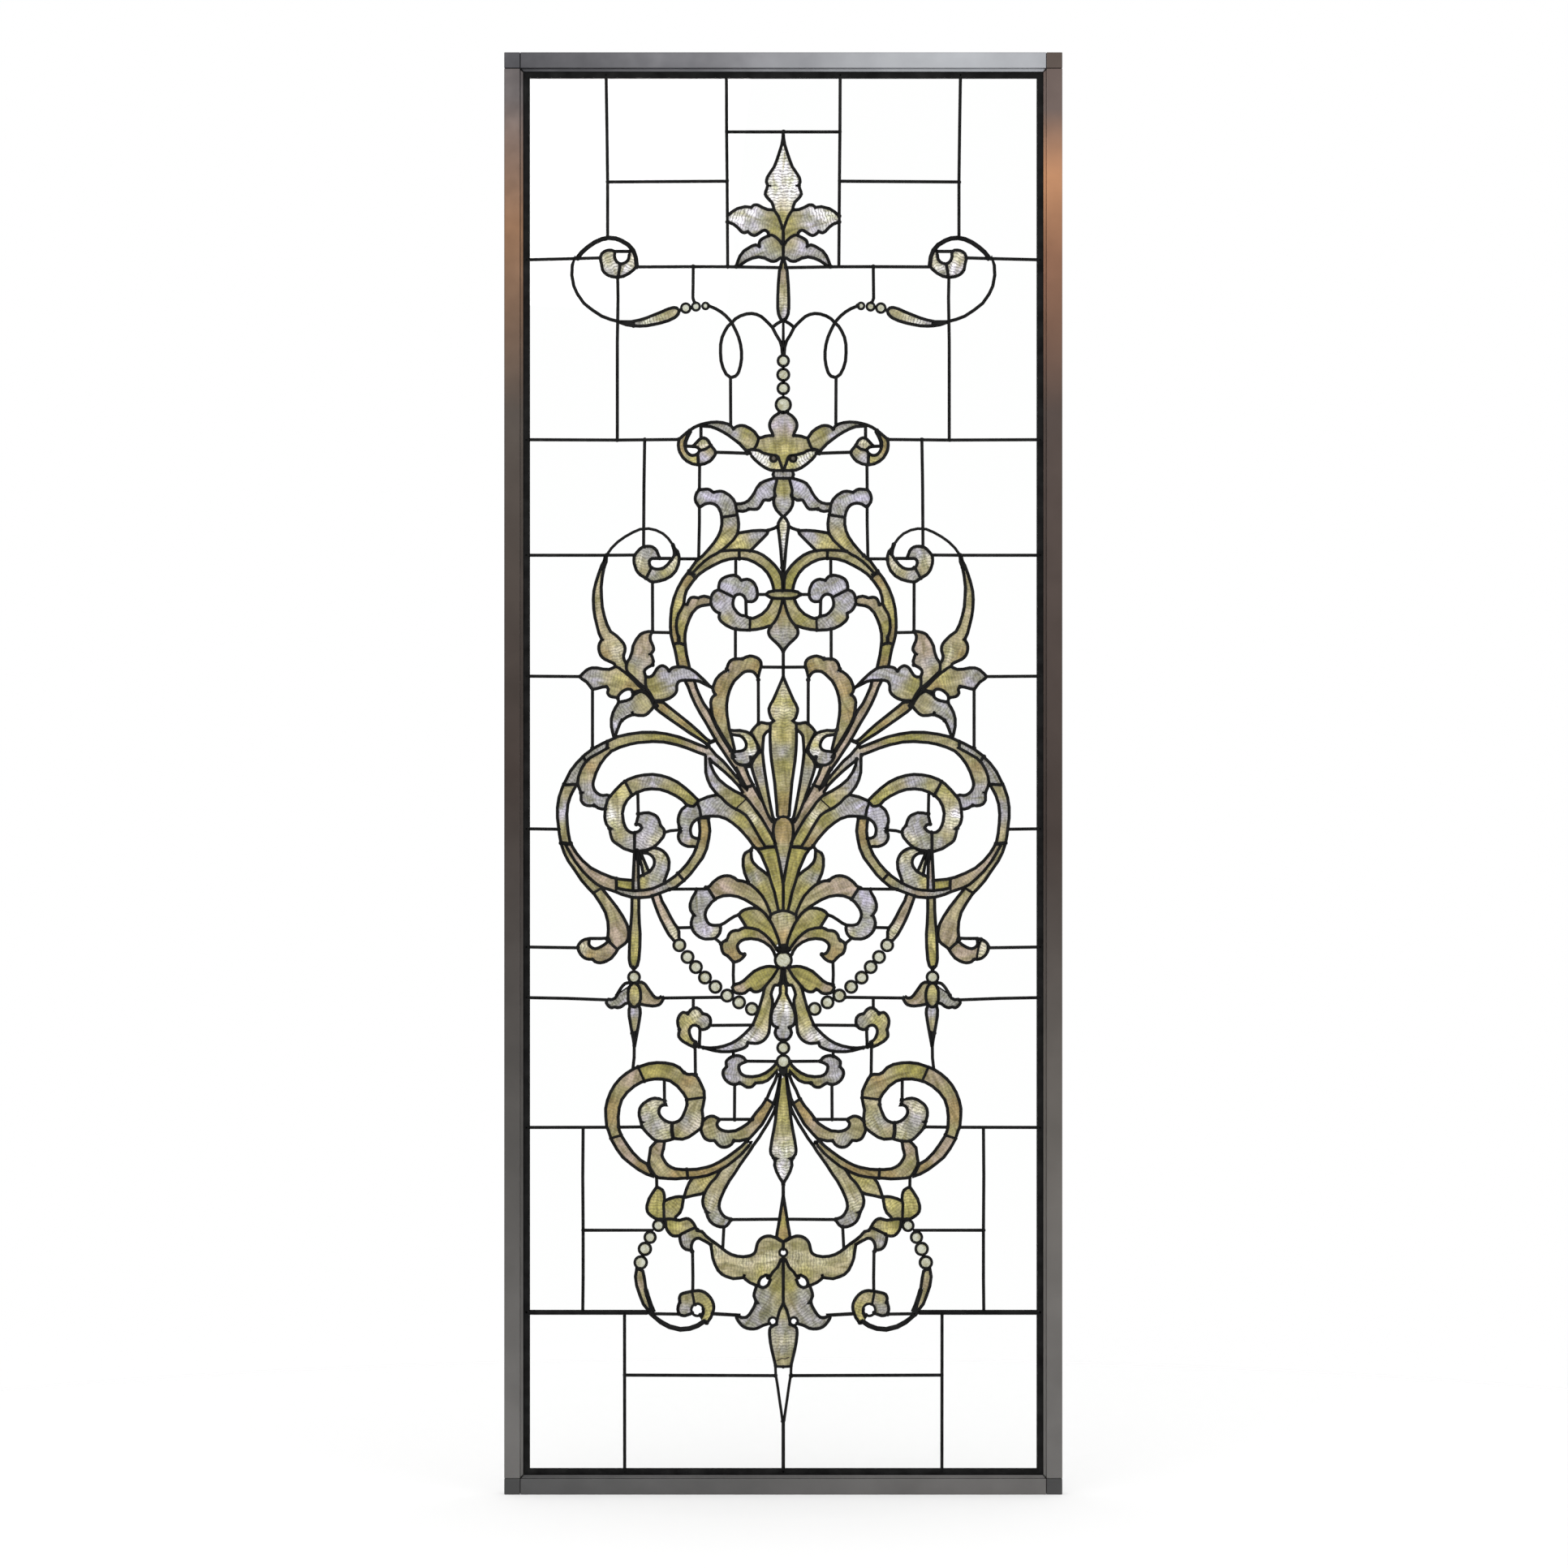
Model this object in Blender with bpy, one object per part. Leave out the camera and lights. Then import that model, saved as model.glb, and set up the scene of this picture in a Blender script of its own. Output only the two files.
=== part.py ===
"""A leaded glass window. Four tube rails and four corner keys hold one panel of lead cames and glass.

The window stands in the XZ plane with its front towards -Y, and the origin is under the middle of the frame.
"""

import math

import bmesh
import bpy
from mathutils import Vector
from mathutils.geometry import delaunay_2d_cdt, tessellate_polygon

MM = 0.001

# Driving dimensions
WIDTH = 774 * MM
HEIGHT = 2000 * MM
DEPTH = 28 * MM
RAIL_FACE = 22 * MM
RAIL_WALL = 2 * MM
LIP = 4 * MM
LIP_WALL = 2.2 * MM
BORDER_CAME = 9 * MM
CAME = 3.5 * MM
CAME_DEPTH = 5.5 * MM
GLASS = 3 * MM
TONGUE = 30 * MM
CLEARANCE = 0.3 * MM
THINNING = 1.8 * MM
SEAM = 0.05 * MM
LEAST_CELL = 110 * MM * MM

# The pattern was drawn for a sight opening of this size, with its sill at this height, in mm.
DRAWN_WIDTH, DRAWN_HEIGHT, DRAWN_SILL = 704, 1930, 35

SIGHT_X = WIDTH / 2 - RAIL_FACE - LIP - BORDER_CAME
SIGHT_Z0 = RAIL_FACE + LIP + BORDER_CAME
SIGHT_Z1 = HEIGHT - SIGHT_Z0
PANEL_X = WIDTH / 2 - RAIL_FACE - CLEARANCE
PANEL_Z0 = RAIL_FACE + CLEARANCE
PANEL_Z1 = HEIGHT - PANEL_Z0

# Came centre lines of the left half, top to bottom. A line that starts with w gives its face width.
CAMES = """
-245,1965 -244,1744
-244,1822 -78,1822
-79,1965 -77,1703
-78,1891 0,1891
-352,1714 -290,1715
-204,1704 0,1703
-230,1689 -230,1464
-352,1464 -145,1464
-73,1550 -74,1480
-193,1464 -194,1316
-352,1303 -207,1303
-145,1298 -114,1298
-182,1269 -182,1196
-352,1135 -282,1135
-352,923 -311,923
-352,759 -281,759
-157,839 -107,839
-352,688 -246,686
-167,688 -80,690
-69,738 -69,706
-104,652 -42,652
-352,508 -245,508
-278,508 -278,252
-278,366 -182,366
-73,380 -3,381
w7 -352,252 -190,251
-220,250 -220,35
-220,164 -9,164
-30,1148 0,1148
w5 0,1758 0,1703
w6 -204,1704 -212,1731 -240,1744 -268,1733 -290,1715
-290,1715 -293,1690 -277,1653 -230,1628
-230,1689 -250,1700 -251,1722 -224,1727 -207,1720
-230,1689 -204,1704
-230,1628 -190,1632 -150,1647 -144,1643
-230,1628 -200,1621 -160,1628 -144,1643
w7 -144,1643 -121,1649 -102,1649
-102,1649 -86,1641 -72,1626 -44,1639 -18,1624 -1,1582
-72,1626 -87,1592 -73,1550 -58,1580 -72,1626
-125,1703 -124,1648
-3,1703 -8,1652 0,1628
0,1891 -22,1828 -25,1805 -13,1782 0,1757
-13,1782 -40,1789 -78,1774
-78,1765 -54,1751 -34,1745 -37,1733 -60,1719 -65,1703
-6,1500 -19,1484 -14,1469 -34,1465 -46,1444 -18,1421 0,1420
-145,1464 -118,1483 -88,1488 -70,1478 -56,1483 -34,1465
-94,1446 -46,1445
-145,1464 -141,1441 -118,1428 -94,1446
-12,1421 -9,1409 -12,1380 0,1357
-10,1409 -35,1400 -49,1378 -66,1374
-12,1384 -25,1380 -36,1367 -65,1366
-117,1394 -121,1376 -98,1375 -85,1350 -94,1323 -114,1300
-117,1394 -82,1391 -65,1370 -64,1333 -87,1309 -129,1278
-64,1334 -21,1337 -8,1343
0,1357 -7,1343 0,1279
w6 0,1279 0,1254
-88,1309 -45,1309 -12,1289 -1,1255
-13,1249 -28,1286 -66,1299 -104,1286 -134,1255 -138,1235
-114,1300 -146,1257 -157,1212 -146,1150
-138,1235 -118,1245 -100,1242 -120,1229 -137,1190 -130,1148
-146,1150 -130,1148
-89,1255 -101,1240 -89,1222 -80,1206 -49,1199 -17,1204
-89,1255 -72,1275 -42,1266 -36,1248 -52,1239 -51,1218 -30,1220 -15,1247
w8 -36,1248 0,1248
-1,1247 -20,1197 0,1169
0,1169 0,1134
-30,1148 -46,1163 -74,1155 -98,1119 -100,1090 -68,1030
-30,1148 -35,1130 -46,1142 -68,1129 -79,1090 -68,1030
-245,1303 -222,1327 -187,1340 -156,1322 -145,1298 -163,1269 -192,1271 -207,1291 -207,1303
-245,1303 -264,1241 -253,1187 -254,1164 -233,1149
-245,1303 -252,1240 -240,1197 -220,1176 -218,1153
-218,1153 -204,1186 -182,1196 -181,1152 -191,1134
-233,1149 -218,1153 -209,1134 -178,1098
-233,1149 -268,1146 -282,1135 -265,1117 -243,1119 -230,1104 -190,1113
-230,1104 -238,1078 -234,1050 -224,1074 -190,1081 -180,1093
-265,1117 -265,1032
-191,1134 -169,1149 -138,1148 -98,1119 -140,1129 -155,1106 -178,1098
w9 -178,1098 -160,1085 -104,1041
w10 -129,1127 -108,1080 -68,1012
-105,1039 -60,991
-105,1039 -180,1057 -250,1042 -296,1002 -314,948 -303,887 -254,820 -243,771
-105,1027 -180,1044 -240,1029 -264,985 -237,968
-282,983 -300,943 -288,888 -208,852
-242,1029 -284,1000 -279,960 -244,950
-304,899 -250,841 -198,828 -146,843 -113,885 -104,938 -116,938
-233,838 -190,838 -146,860 -119,910 -116,938 -119,960
w5 -208,924 -209,838
-119,960 -134,984 -181,998 -234,976 -248,940 -236,905 -208,892
-134,956 -175,978 -217,963 -217,922 -199,926 -196,945 -173,934 -181,897 -208,892
-134,956 -119,960
-33,1030 -44,1010 -13,934
-104,1041 -107,1000 -92,971
-105,1020 -90,992 -47,960 -11,903
-119,962 -92,971 -46,934 -25,898
-114,939 -80,938 -41,899
-41,899 -11,898
0,1134 -20,1090 -14,1073 -18,1044 -8,938
-11,936 -14,915 0,849
w4 -12,934 0,940
-41,899 -22,866 -6,808
-41,899 -56,880 -48,848
0,849 0,809
-109,839 -84,857 -48,848 -17,804
-121,839 -128,815 -125,780 -98,770 -88,789
-31,810 -72,831 -108,805 -88,789 -62,803
-62,803 -31,810 -4,758
-62,803 -51,786 -26,777 -8,754
-51,786 -80,768 -84,752 -69,738 -54,748 -62,762 -30,768 -9,750
-17,804 0,809
-250,840 -216,787 -230,756
-243,771 -280,767 -277,745 -245,739 -230,756
w10 -206,829 -207,706
w15 -207,706 -207,678
w9 -207,678 -207,620
-209,709 -228,698 -245,685 -240,675 -214,680
-204,709 -187,700 -167,688 -173,679 -200,680
-207,620 -209,589
w11 -177,833 -149,776
w13 -149,776 -121,731 -78,691 -38,670
-10,732 -35,728 -69,706 -60,695 -30,700 -8,728
-26,703 -42,653 -80,622 -120,620
-4,706 -15,695 -20,640 -49,626 -69,614 -112,620
0,728 -4,700 -17,662 -9,640 0,629
-51,600 -5,600
-51,600 -78,600 -82,577 -50,565 -22,574 -5,588
-125,688 -125,674
-125,674 -147,655 -120,620
-125,674 -101,655 -117,645 -130,640 -118,620
w13 0,630 0,586
-209,589 -178,598 -145,591 -114,568 -112,517
-209,589 -241,556 -245,508 -218,463 -178,440
-134,540 -150,568 -180,576 -215,560 -229,517 -210,475 -187,457
-134,540 -150,516 -171,525 -165,546 -190,544 -200,522 -188,500 -165,489 -134,494 -112,517
-176,493 -187,460 -178,440
-165,489 -168,470 -150,451 -118,450 -80,466 -35,506 -4,580
-178,440 -125,438 -80,454 -47,492
-11,534 -60,456 -89,399 -73,380
-86,450 -111,410 -102,379 -73,380
-112,516 -109,493 -60,490 -48,493
-112,516 -94,522 -88,505 -44,520
-4,583 -17,478 0,429
0,429 0,412
w9 0,412 0,349
-176,425 -189,395 -172,381 -150,380
-176,425 -165,408 -138,411 -150,380 -125,376 -119,365
-121,368 -86,341
-86,341 -62,329 -38,335 -20,358 0,349
-99,350 -96,320 -80,301 -37,288
0,349 0,264
-18,302 -37,288 -38,267 -50,245 -64,246 -50,229 -21,236
-99,250 -64,246
-99,250 -97,262 -118,281 -143,276 -144,249 -182,250
w10 -198,311 -186,253
w13 -172,380 -187,354 -198,311
-190,254 -166,236 -130,229 -110,238 -99,250
0,264 -10,235 -18,215 -11,177 0,110
-11,177 0,176
0,110 0,35
w15 0,1582 0,1500
w22 0,752 0,730
w5 0,759 0,728
"""

# A point inside each field pane and each ornament pane of the left half and the middle, top to bottom. A cell
# without one stays open.
FIELD_PANES = """
0,1930 -164,1896 -300,1781 -159,1764 0,1605 -153,1553 -293,1525 -154,1403 -275,1385 -305,1184 -46,1073
-310,1052 -305,811 -169,631 -282,613 -232,412 -144,321 -317,308 -86,206 -285,112 -156,100
"""
ORNAMENT_PANES = """
-31,1766 -257,1673 0,1089 -267,912 -106,751 -167,507
"""


def clear_scene():
    for obj in list(bpy.data.objects):
        bpy.data.objects.remove(obj, do_unlink=True)


def placed(x, z):
    """A point of the drawn pattern in metres in the window."""
    return Vector((
        x * 2 * SIGHT_X / DRAWN_WIDTH,
        SIGHT_Z0 + (z - DRAWN_SILL) * (SIGHT_Z1 - SIGHT_Z0) / DRAWN_HEIGHT,
    ))


def strokes(text):
    """The (width, points) of each line of text, with its mirror image."""
    for line in text.strip().splitlines():
        words = line.split()
        width = CAME
        if words[0].startswith("w"):
            width = float(words.pop(0)[1:]) * MM
        pairs = [tuple(map(float, word.split(","))) for word in words]
        yield width, [placed(x, z) for x, z in pairs]
        if any(x for x, _ in pairs):
            yield width, [placed(-x, z) for x, z in pairs]


def ribbon(width, points):
    """The quads of a strip along points, mitred at its bends and run on at its ends by half its width."""
    half = width / 2
    ahead = [(b - a).normalized() for a, b in zip(points, points[1:])]
    joined = (points[0] - points[-1]).length < CLEARANCE
    rims = []
    for i, point in enumerate(points):
        before = ahead[i - 1] if i or joined else ahead[0]
        after = ahead[i] if i < len(ahead) else ahead[0] if joined else ahead[-1]
        along = (before + after).normalized() if (before + after).length > 0.3 else after
        reach = half / max(0.6, along.dot(after))
        side = Vector((-along.y, along.x)) * reach
        run_on = Vector((0, 0))
        if not joined and i in (0, len(points) - 1):
            run_on = along * (half if i else -half)
        rims.append((point + run_on + side, point + run_on - side))
    return [(a[0], b[0], b[1], a[1]) for a, b in zip(rims, rims[1:])]


def rectangle(x, z0, z1):
    return [Vector((-x, z0)), Vector((x, z0)), Vector((x, z1)), Vector((-x, z1))]


def lead_shapes():
    """The outlines whose union is the lead: the border came and every came."""
    outer = rectangle(PANEL_X, PANEL_Z0, PANEL_Z1)
    inner = rectangle(SIGHT_X, SIGHT_Z0, SIGHT_Z1)
    around = zip(outer, outer[1:] + outer[:1], inner[1:] + inner[:1], inner)
    shapes = list(around)
    for width, points in strokes(CAMES):
        shapes += ribbon(width, points)
    return shapes


def area_of(outline):
    ends = outline[1:] + outline[:1]
    return sum(a.x * b.y - b.x * a.y for a, b in zip(outline, ends)) / 2


def divided(shapes):
    """The plane cut into triangles: its points, the triangles, and the shapes that hold each triangle."""
    points, faces = [], []
    for shape in shapes:
        faces.append(list(range(len(points), len(points) + len(shape))))
        points += shape if area_of(list(shape)) > 0 else reversed(shape)
    points, _, faces, _, _, holders = delaunay_2d_cdt(points, [], faces, 0, 1e-7, True)
    return points, faces, holders


def edges_of(face):
    return list(zip(face, face[1:] + face[:1]))


def largest_body(faces):
    """The faces of the largest group that is joined edge to edge."""
    owner = {edge: f for f, face in enumerate(faces) for edge in edges_of(face)}
    left, best = set(range(len(faces))), []
    while left:
        pile, body = [left.pop()], []
        while pile:
            f = pile.pop()
            body.append(f)
            for a, b in edges_of(faces[f]):
                other = owner.get((b, a))
                if other in left:
                    left.remove(other)
                    pile.append(other)
        best = max(best, body, key=len)
    return [faces[f] for f in best]


def rim_of(faces):
    """The edges that have a face on their left only."""
    edges = {edge for face in faces for edge in edges_of(face)}
    return [(a, b) for a, b in edges if (b, a) not in edges]


def loops_of(points, faces):
    """The closed outlines round faces, the outer one first. Two cells that meet at a point get one each."""
    after = {}
    for a, b in sorted(rim_of(faces)):
        after.setdefault(a, []).append(b)

    def turn(a, b, c):
        return (points[c] - points[b]).angle_signed(points[a] - points[b]) % (2 * math.pi)

    loops = []
    edges = sorted(rim_of(faces))
    left = set(edges)
    for edge in edges:
        loop = []
        while edge in left:
            left.remove(edge)
            a, b = edge
            loop.append(points[b])
            edge = b, min(after[b], key=lambda c: turn(a, b, c))
        if loop:
            loops.append(loop)
    return sorted(loops, key=area_of, reverse=True)


def thinned(outline):
    """The outline without the points that lie within THINNING of the line between those kept."""
    def between(chain):
        a, b = chain[0], chain[-1]
        along = (b - a).normalized()
        off = [abs(along.cross(p - a)) for p in chain]
        far = max(range(len(chain)), key=off.__getitem__)
        if off[far] < THINNING:
            return [a]
        return between(chain[:far + 1]) + between(chain[far:])

    far = max(range(len(outline)), key=lambda i: (outline[i] - outline[0]).length)
    return between(outline[:far + 1]) + between(outline[far:] + outline[:1])


def inset(outline, gap):
    """The outline moved inwards by gap, without the parts that a narrow neck cuts off."""
    shapes = [outline] + ribbon(2 * gap, outline + outline[:1])
    points, faces, holders = divided(shapes)
    inner = largest_body([face for face, inside in zip(faces, holders) if list(inside) == [0]])
    return loops_of(points, inner)[0]


def holds(outline, point):
    """Whether the point is inside the outline."""
    crossed = False
    for a, b in zip(outline, outline[1:] + outline[:1]):
        if (a.y > point.y) != (b.y > point.y):
            crossed ^= point.x < a.x + (b.x - a.x) * (point.y - a.y) / (b.y - a.y)
    return crossed


def material(name, colour, metallic, roughness, transmission=0.0):
    made = bpy.data.materials.new(name)
    made.use_nodes = True
    shader = made.node_tree.nodes["Principled BSDF"]
    shader.inputs["Base Color"].default_value = (*colour, 1)
    shader.inputs["Metallic"].default_value = metallic
    shader.inputs["Roughness"].default_value = roughness
    shader.inputs["Transmission Weight"].default_value = transmission
    return made


def add_object(name, mesh_of, look):
    mesh = bpy.data.meshes.new(name)
    mesh_of.to_mesh(mesh)
    mesh_of.free()
    mesh.materials.append(look)
    made = bpy.data.objects.new(name, mesh)
    bpy.context.collection.objects.link(made)


def slab(name, outlines, depth, look):
    """A flat plate with the first outline as its edge and the others as its holes, centred on y = 0."""
    points, faces, holders = divided(outlines)
    faces = largest_body([face for face, inside in zip(faces, holders) if list(inside) == [0]])
    used = sorted({i for face in faces for i in face})
    made = bmesh.new()
    front = {i: made.verts.new((points[i].x, -depth / 2, points[i].y)) for i in used}
    back = {i: made.verts.new((points[i].x, depth / 2, points[i].y)) for i in used}
    for face in faces:
        made.faces.new([front[i] for i in face])
        made.faces.new([back[i] for i in reversed(face)])
    for a, b in rim_of(faces):
        made.faces.new((front[b], front[a], back[a], back[b]))
    add_object(name, made, look)


def add_panel(lead, clear, opal):
    points, faces, holders = divided(lead_shapes())
    faces = largest_body([face for face, inside in zip(faces, holders) if inside])
    edge, *cells = [thinned(loop) for loop in loops_of(points, faces)]
    cells = [list(reversed(cell)) for cell in cells if -area_of(cell) > LEAST_CELL]
    slab("cames", [edge] + [inset(cell, SEAM) for cell in cells], CAME_DEPTH, lead)
    add_panes("field_glass", cells, FIELD_PANES, clear)
    add_panes("ornament_glass", cells, ORNAMENT_PANES, opal)


def add_panes(name, cells, spots, look):
    """A pane in each cell that holds one of the spots or its mirror image, numbered in their order."""
    number = 0
    for spot in spots.split():
        x, z = map(float, spot.split(","))
        for side in (1, -1) if x else (1,):
            number += 1
            cell = next(cell for cell in cells if holds(cell, placed(side * x, z)))
            slab(f"{name}_{number:02}", [inset(cell, SEAM + CLEARANCE)], GLASS, look)


def add_rail(name, length, place, look):
    """A tube with two lips on its inner side, which end at 45 degrees. It runs along the local x axis, with
    its outer face at local z = 0, and place turns a local point into one in the window."""
    front, back = -DEPTH / 2, DEPTH / 2
    inner = RAIL_FACE
    near = CAME_DEPTH / 2 + CLEARANCE
    far = near + LIP_WALL
    tube = [
        (0, front), (inner, front), (inner, -far), (inner, -near),
        (inner, near), (inner, far), (inner, back), (0, back),
    ]
    low, high = RAIL_WALL, RAIL_FACE - RAIL_WALL
    near_bore, far_bore = front + RAIL_WALL, back - RAIL_WALL
    bore = [(low, near_bore), (high, near_bore), (high, far_bore), (low, far_bore)]
    lips = [(inner + LIP, -far), (inner + LIP, -near), (inner + LIP, near), (inner + LIP, far)]
    profile = tube + bore + lips
    caps = tessellate_polygon([[(z, y, 0) for z, y in loop] for loop in (tube, bore)])
    caps += [(2, 12, 13, 3), (4, 14, 15, 5)]
    outside = [0, 1, 2, 12, 13, 3, 4, 14, 15, 5, 6, 7]
    walls = edges_of(outside) + edges_of([8, 9, 10, 11])
    made = bmesh.new()
    ends = []
    for side in (-1, 1):
        row = []
        for z, y in profile:
            x = side * (length / 2 - CLEARANCE - max(0, z - inner))
            row.append(made.verts.new(place(x, y, z)))
        ends.append(row)
    for cap in caps:
        for row in ends:
            made.faces.new([row[i] for i in cap])
    for a, b in walls:
        made.faces.new((ends[0][a], ends[0][b], ends[1][b], ends[1][a]))
    bmesh.ops.recalc_face_normals(made, faces=made.faces)
    add_object(name, made, look)


def add_key(name, x_sign, z_sign, look):
    """A corner block with a tongue into each of the two rails that meet it."""
    made = bmesh.new()
    half = RAIL_FACE / 2
    made_verts = bmesh.ops.create_cube(made, size=1)["verts"]
    middle = Vector((x_sign * (WIDTH / 2 - half), 0, HEIGHT / 2 + z_sign * (HEIGHT / 2 - half)))
    for vert in made_verts:
        vert.co = middle + Vector((vert.co.x * RAIL_FACE, vert.co.y * DEPTH, vert.co.z * RAIL_FACE))
    for out in (Vector((-x_sign, 0, 0)), Vector((0, 0, -z_sign))):
        mouth = middle + out * half
        face = min(made.faces, key=lambda f: (f.calc_center_median() - mouth).length)
        bmesh.ops.inset_region(made, faces=[face], thickness=RAIL_WALL + CLEARANCE, use_even_offset=True)
        grown = bmesh.ops.extrude_face_region(made, geom=[face])["geom"]
        bmesh.ops.delete(made, geom=[face], context="FACES_ONLY")
        tip = [item for item in grown if isinstance(item, bmesh.types.BMVert)]
        bmesh.ops.translate(made, verts=tip, vec=out * TONGUE)
    bmesh.ops.recalc_face_normals(made, faces=made.faces)
    add_object(name, made, look)


def main():
    clear_scene()
    bronze = material("rail", (0.16, 0.13, 0.11), 0.9, 0.45)
    key = material("key", (0.15, 0.12, 0.10), 0.9, 0.5)
    lead = material("lead", (0.03, 0.028, 0.026), 0.6, 0.6)
    clear = material("clear_glass", (0.93, 0.95, 0.95), 0.0, 0.05, 0.9)
    opal = material("opal_glass", (0.62, 0.57, 0.45), 0.0, 0.25, 0.3)
    width, height = WIDTH - 2 * RAIL_FACE, HEIGHT - 2 * RAIL_FACE
    add_rail("rail_bottom", width, lambda x, y, z: (x, y, z), bronze)
    add_rail("rail_top", width, lambda x, y, z: (x, y, HEIGHT - z), bronze)
    add_rail("rail_left", height, lambda x, y, z: (z - WIDTH / 2, y, x + HEIGHT / 2), bronze)
    add_rail("rail_right", height, lambda x, y, z: (WIDTH / 2 - z, y, x + HEIGHT / 2), bronze)
    for x_name, x_sign in (("left", -1), ("right", 1)):
        for z_name, z_sign in (("bottom", -1), ("top", 1)):
            add_key(f"key_{z_name}_{x_name}", x_sign, z_sign, key)
    add_panel(lead, clear, opal)


main()
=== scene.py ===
"""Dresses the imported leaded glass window: tube frame, border came, soldered came net, clear panes, rippled
ornament panes and round jewels, with a plain studio round it."""

import math
import random
from functools import lru_cache

import bmesh
import bpy
from bpy.props import FloatProperty, FloatVectorProperty, PointerProperty
from mathutils import Matrix, Vector, noise
from mathutils.geometry import delaunay_2d_cdt, interpolate_bezier
from mathutils.kdtree import KDTree


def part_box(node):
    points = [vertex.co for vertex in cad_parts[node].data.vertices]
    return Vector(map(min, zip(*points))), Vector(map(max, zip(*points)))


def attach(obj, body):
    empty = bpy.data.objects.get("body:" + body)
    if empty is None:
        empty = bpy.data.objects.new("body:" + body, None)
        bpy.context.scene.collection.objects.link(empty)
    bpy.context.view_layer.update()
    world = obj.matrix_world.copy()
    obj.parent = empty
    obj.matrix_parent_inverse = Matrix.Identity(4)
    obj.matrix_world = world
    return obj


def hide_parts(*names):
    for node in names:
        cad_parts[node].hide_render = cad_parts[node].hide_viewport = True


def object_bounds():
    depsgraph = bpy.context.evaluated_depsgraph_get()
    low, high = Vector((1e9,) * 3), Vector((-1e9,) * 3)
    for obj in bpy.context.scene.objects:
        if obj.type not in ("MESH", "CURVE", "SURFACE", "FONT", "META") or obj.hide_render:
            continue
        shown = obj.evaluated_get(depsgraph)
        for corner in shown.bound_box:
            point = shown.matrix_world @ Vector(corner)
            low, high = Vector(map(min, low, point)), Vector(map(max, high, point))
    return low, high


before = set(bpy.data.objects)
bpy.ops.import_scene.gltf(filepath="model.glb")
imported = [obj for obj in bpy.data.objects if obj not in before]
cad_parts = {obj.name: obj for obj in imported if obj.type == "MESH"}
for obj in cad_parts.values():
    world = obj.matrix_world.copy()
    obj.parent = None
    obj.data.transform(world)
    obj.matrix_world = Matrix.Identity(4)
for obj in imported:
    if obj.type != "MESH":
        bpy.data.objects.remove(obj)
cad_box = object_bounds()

bl_info = {
    "name": "Leaded glass window",
    "version": (1, 0, 0),
    "blender": (4, 5, 0),
    "location": "View3D > Sidebar > Window",
    "description": "Builds the frame, cames, panes and jewels of a leaded glass window",
    "category": "Object",
}

MM = 0.001
LOW, HIGH = cad_box
CLEARANCE = 0.3 * MM
NET_LOW, NET_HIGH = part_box("cames")
RAIL_FACE = HIGH.x - NET_HIGH.x - CLEARANCE
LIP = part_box("rail_left")[1].x - LOW.x - RAIL_FACE
NET_DEPTH = NET_HIGH.y - NET_LOW.y
GLASS_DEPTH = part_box("field_glass_01")[1].y * 2

# The pattern was drawn for a window of this size, in mm.
DRAWN_WIDTH, DRAWN_HEIGHT = 774, 2000

# Came centre lines of the left half, in mm: x from the middle and z from the sill. A line that starts with w
# gives the face width, / follows a point where the came turns a corner, and an indented line goes on with the
# one before it.
FIELD_CAMES = """
-246,1965 -245,1900 -244,1822 -244,1746
-244,1821.5 -79,1822.5
-79,1965 -78.7,1891.5 -78,1822 -77.2,1704
-352,1713.5 -290,1715 -254,1716
-204,1703.5 -125,1703.8 -77,1703.7 -3.5,1702.5
-125,1703.8 -125.5,1660 -123.5,1654.5
-230,1689 -229.5,1660 -230,1628 -230.5,1600 -230.5,1464
-352,1463.5 -230,1463 -145,1463.8
-73,1485.5 -73.3,1550
-192.5,1463.5 -193.5,1400 -194,1317
-352,1303 -245.5,1303 -206,1303.3
-116.2,1427.5 -116.5,1394
-116.5,1371 -116.5,1349 -117.5,1300
-144.5,1298 -119,1298
-181.7,1266 -181.5,1198
-182,1196 -156.5,1195.5
-352,1135 -282,1134.5
-265,1117 -265,1035
-34.7,1130 -34.5,1070
-352,923 -314,922.5
-158,839.2 -107,839.5
-352,758.8 -286,757.8
-147,785.5 -128,786
-352,688.5 -300,687.5 -246,685.5
-167,688 -87,689
-69,738.5 -69.5,720 -68.8,706
-125,688 -125,674
-101,650 -42,650.5
-122.5,620 -122,581
-67.5,568 -67.8,519
-90,519.5 -43,519.5
-207,622 -207.2,605 -209,589
-352,508.3 -246,508.5
-228.5,508.6 -196,509
-278,508 -278.5,440 -278,366 -278,300 -278.5,252
-278,365.5 -182,365.5
-176,440 -175.7,425
-82.5,370.5 -84,341
-73,380.3 -8,380.8
-126,334.5 -125.5,300 -125.7,281
w7 -352,251.5 -190,251.5
-182,249.5 -145,249
w5 -97,249.5 -62,247.5
-220.5,250 -220.3,35
-220,164.3 -11,163.6
-36,1248.5 -24,1248.5
-66,1298.5 -66,1274.5
-66.5,1199 -66.5,1160
-30.5,1147.7 0,1147.5
-202,971 -201.5,944
-165,918 -157,920.3 -146,921.3
-165.3,575 -165,547
-51,600.3 -9,600
-69.3,614.5 -69.3,607
-95,771 -86,763.5
-78.7,1891 0,1891
"""
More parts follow.
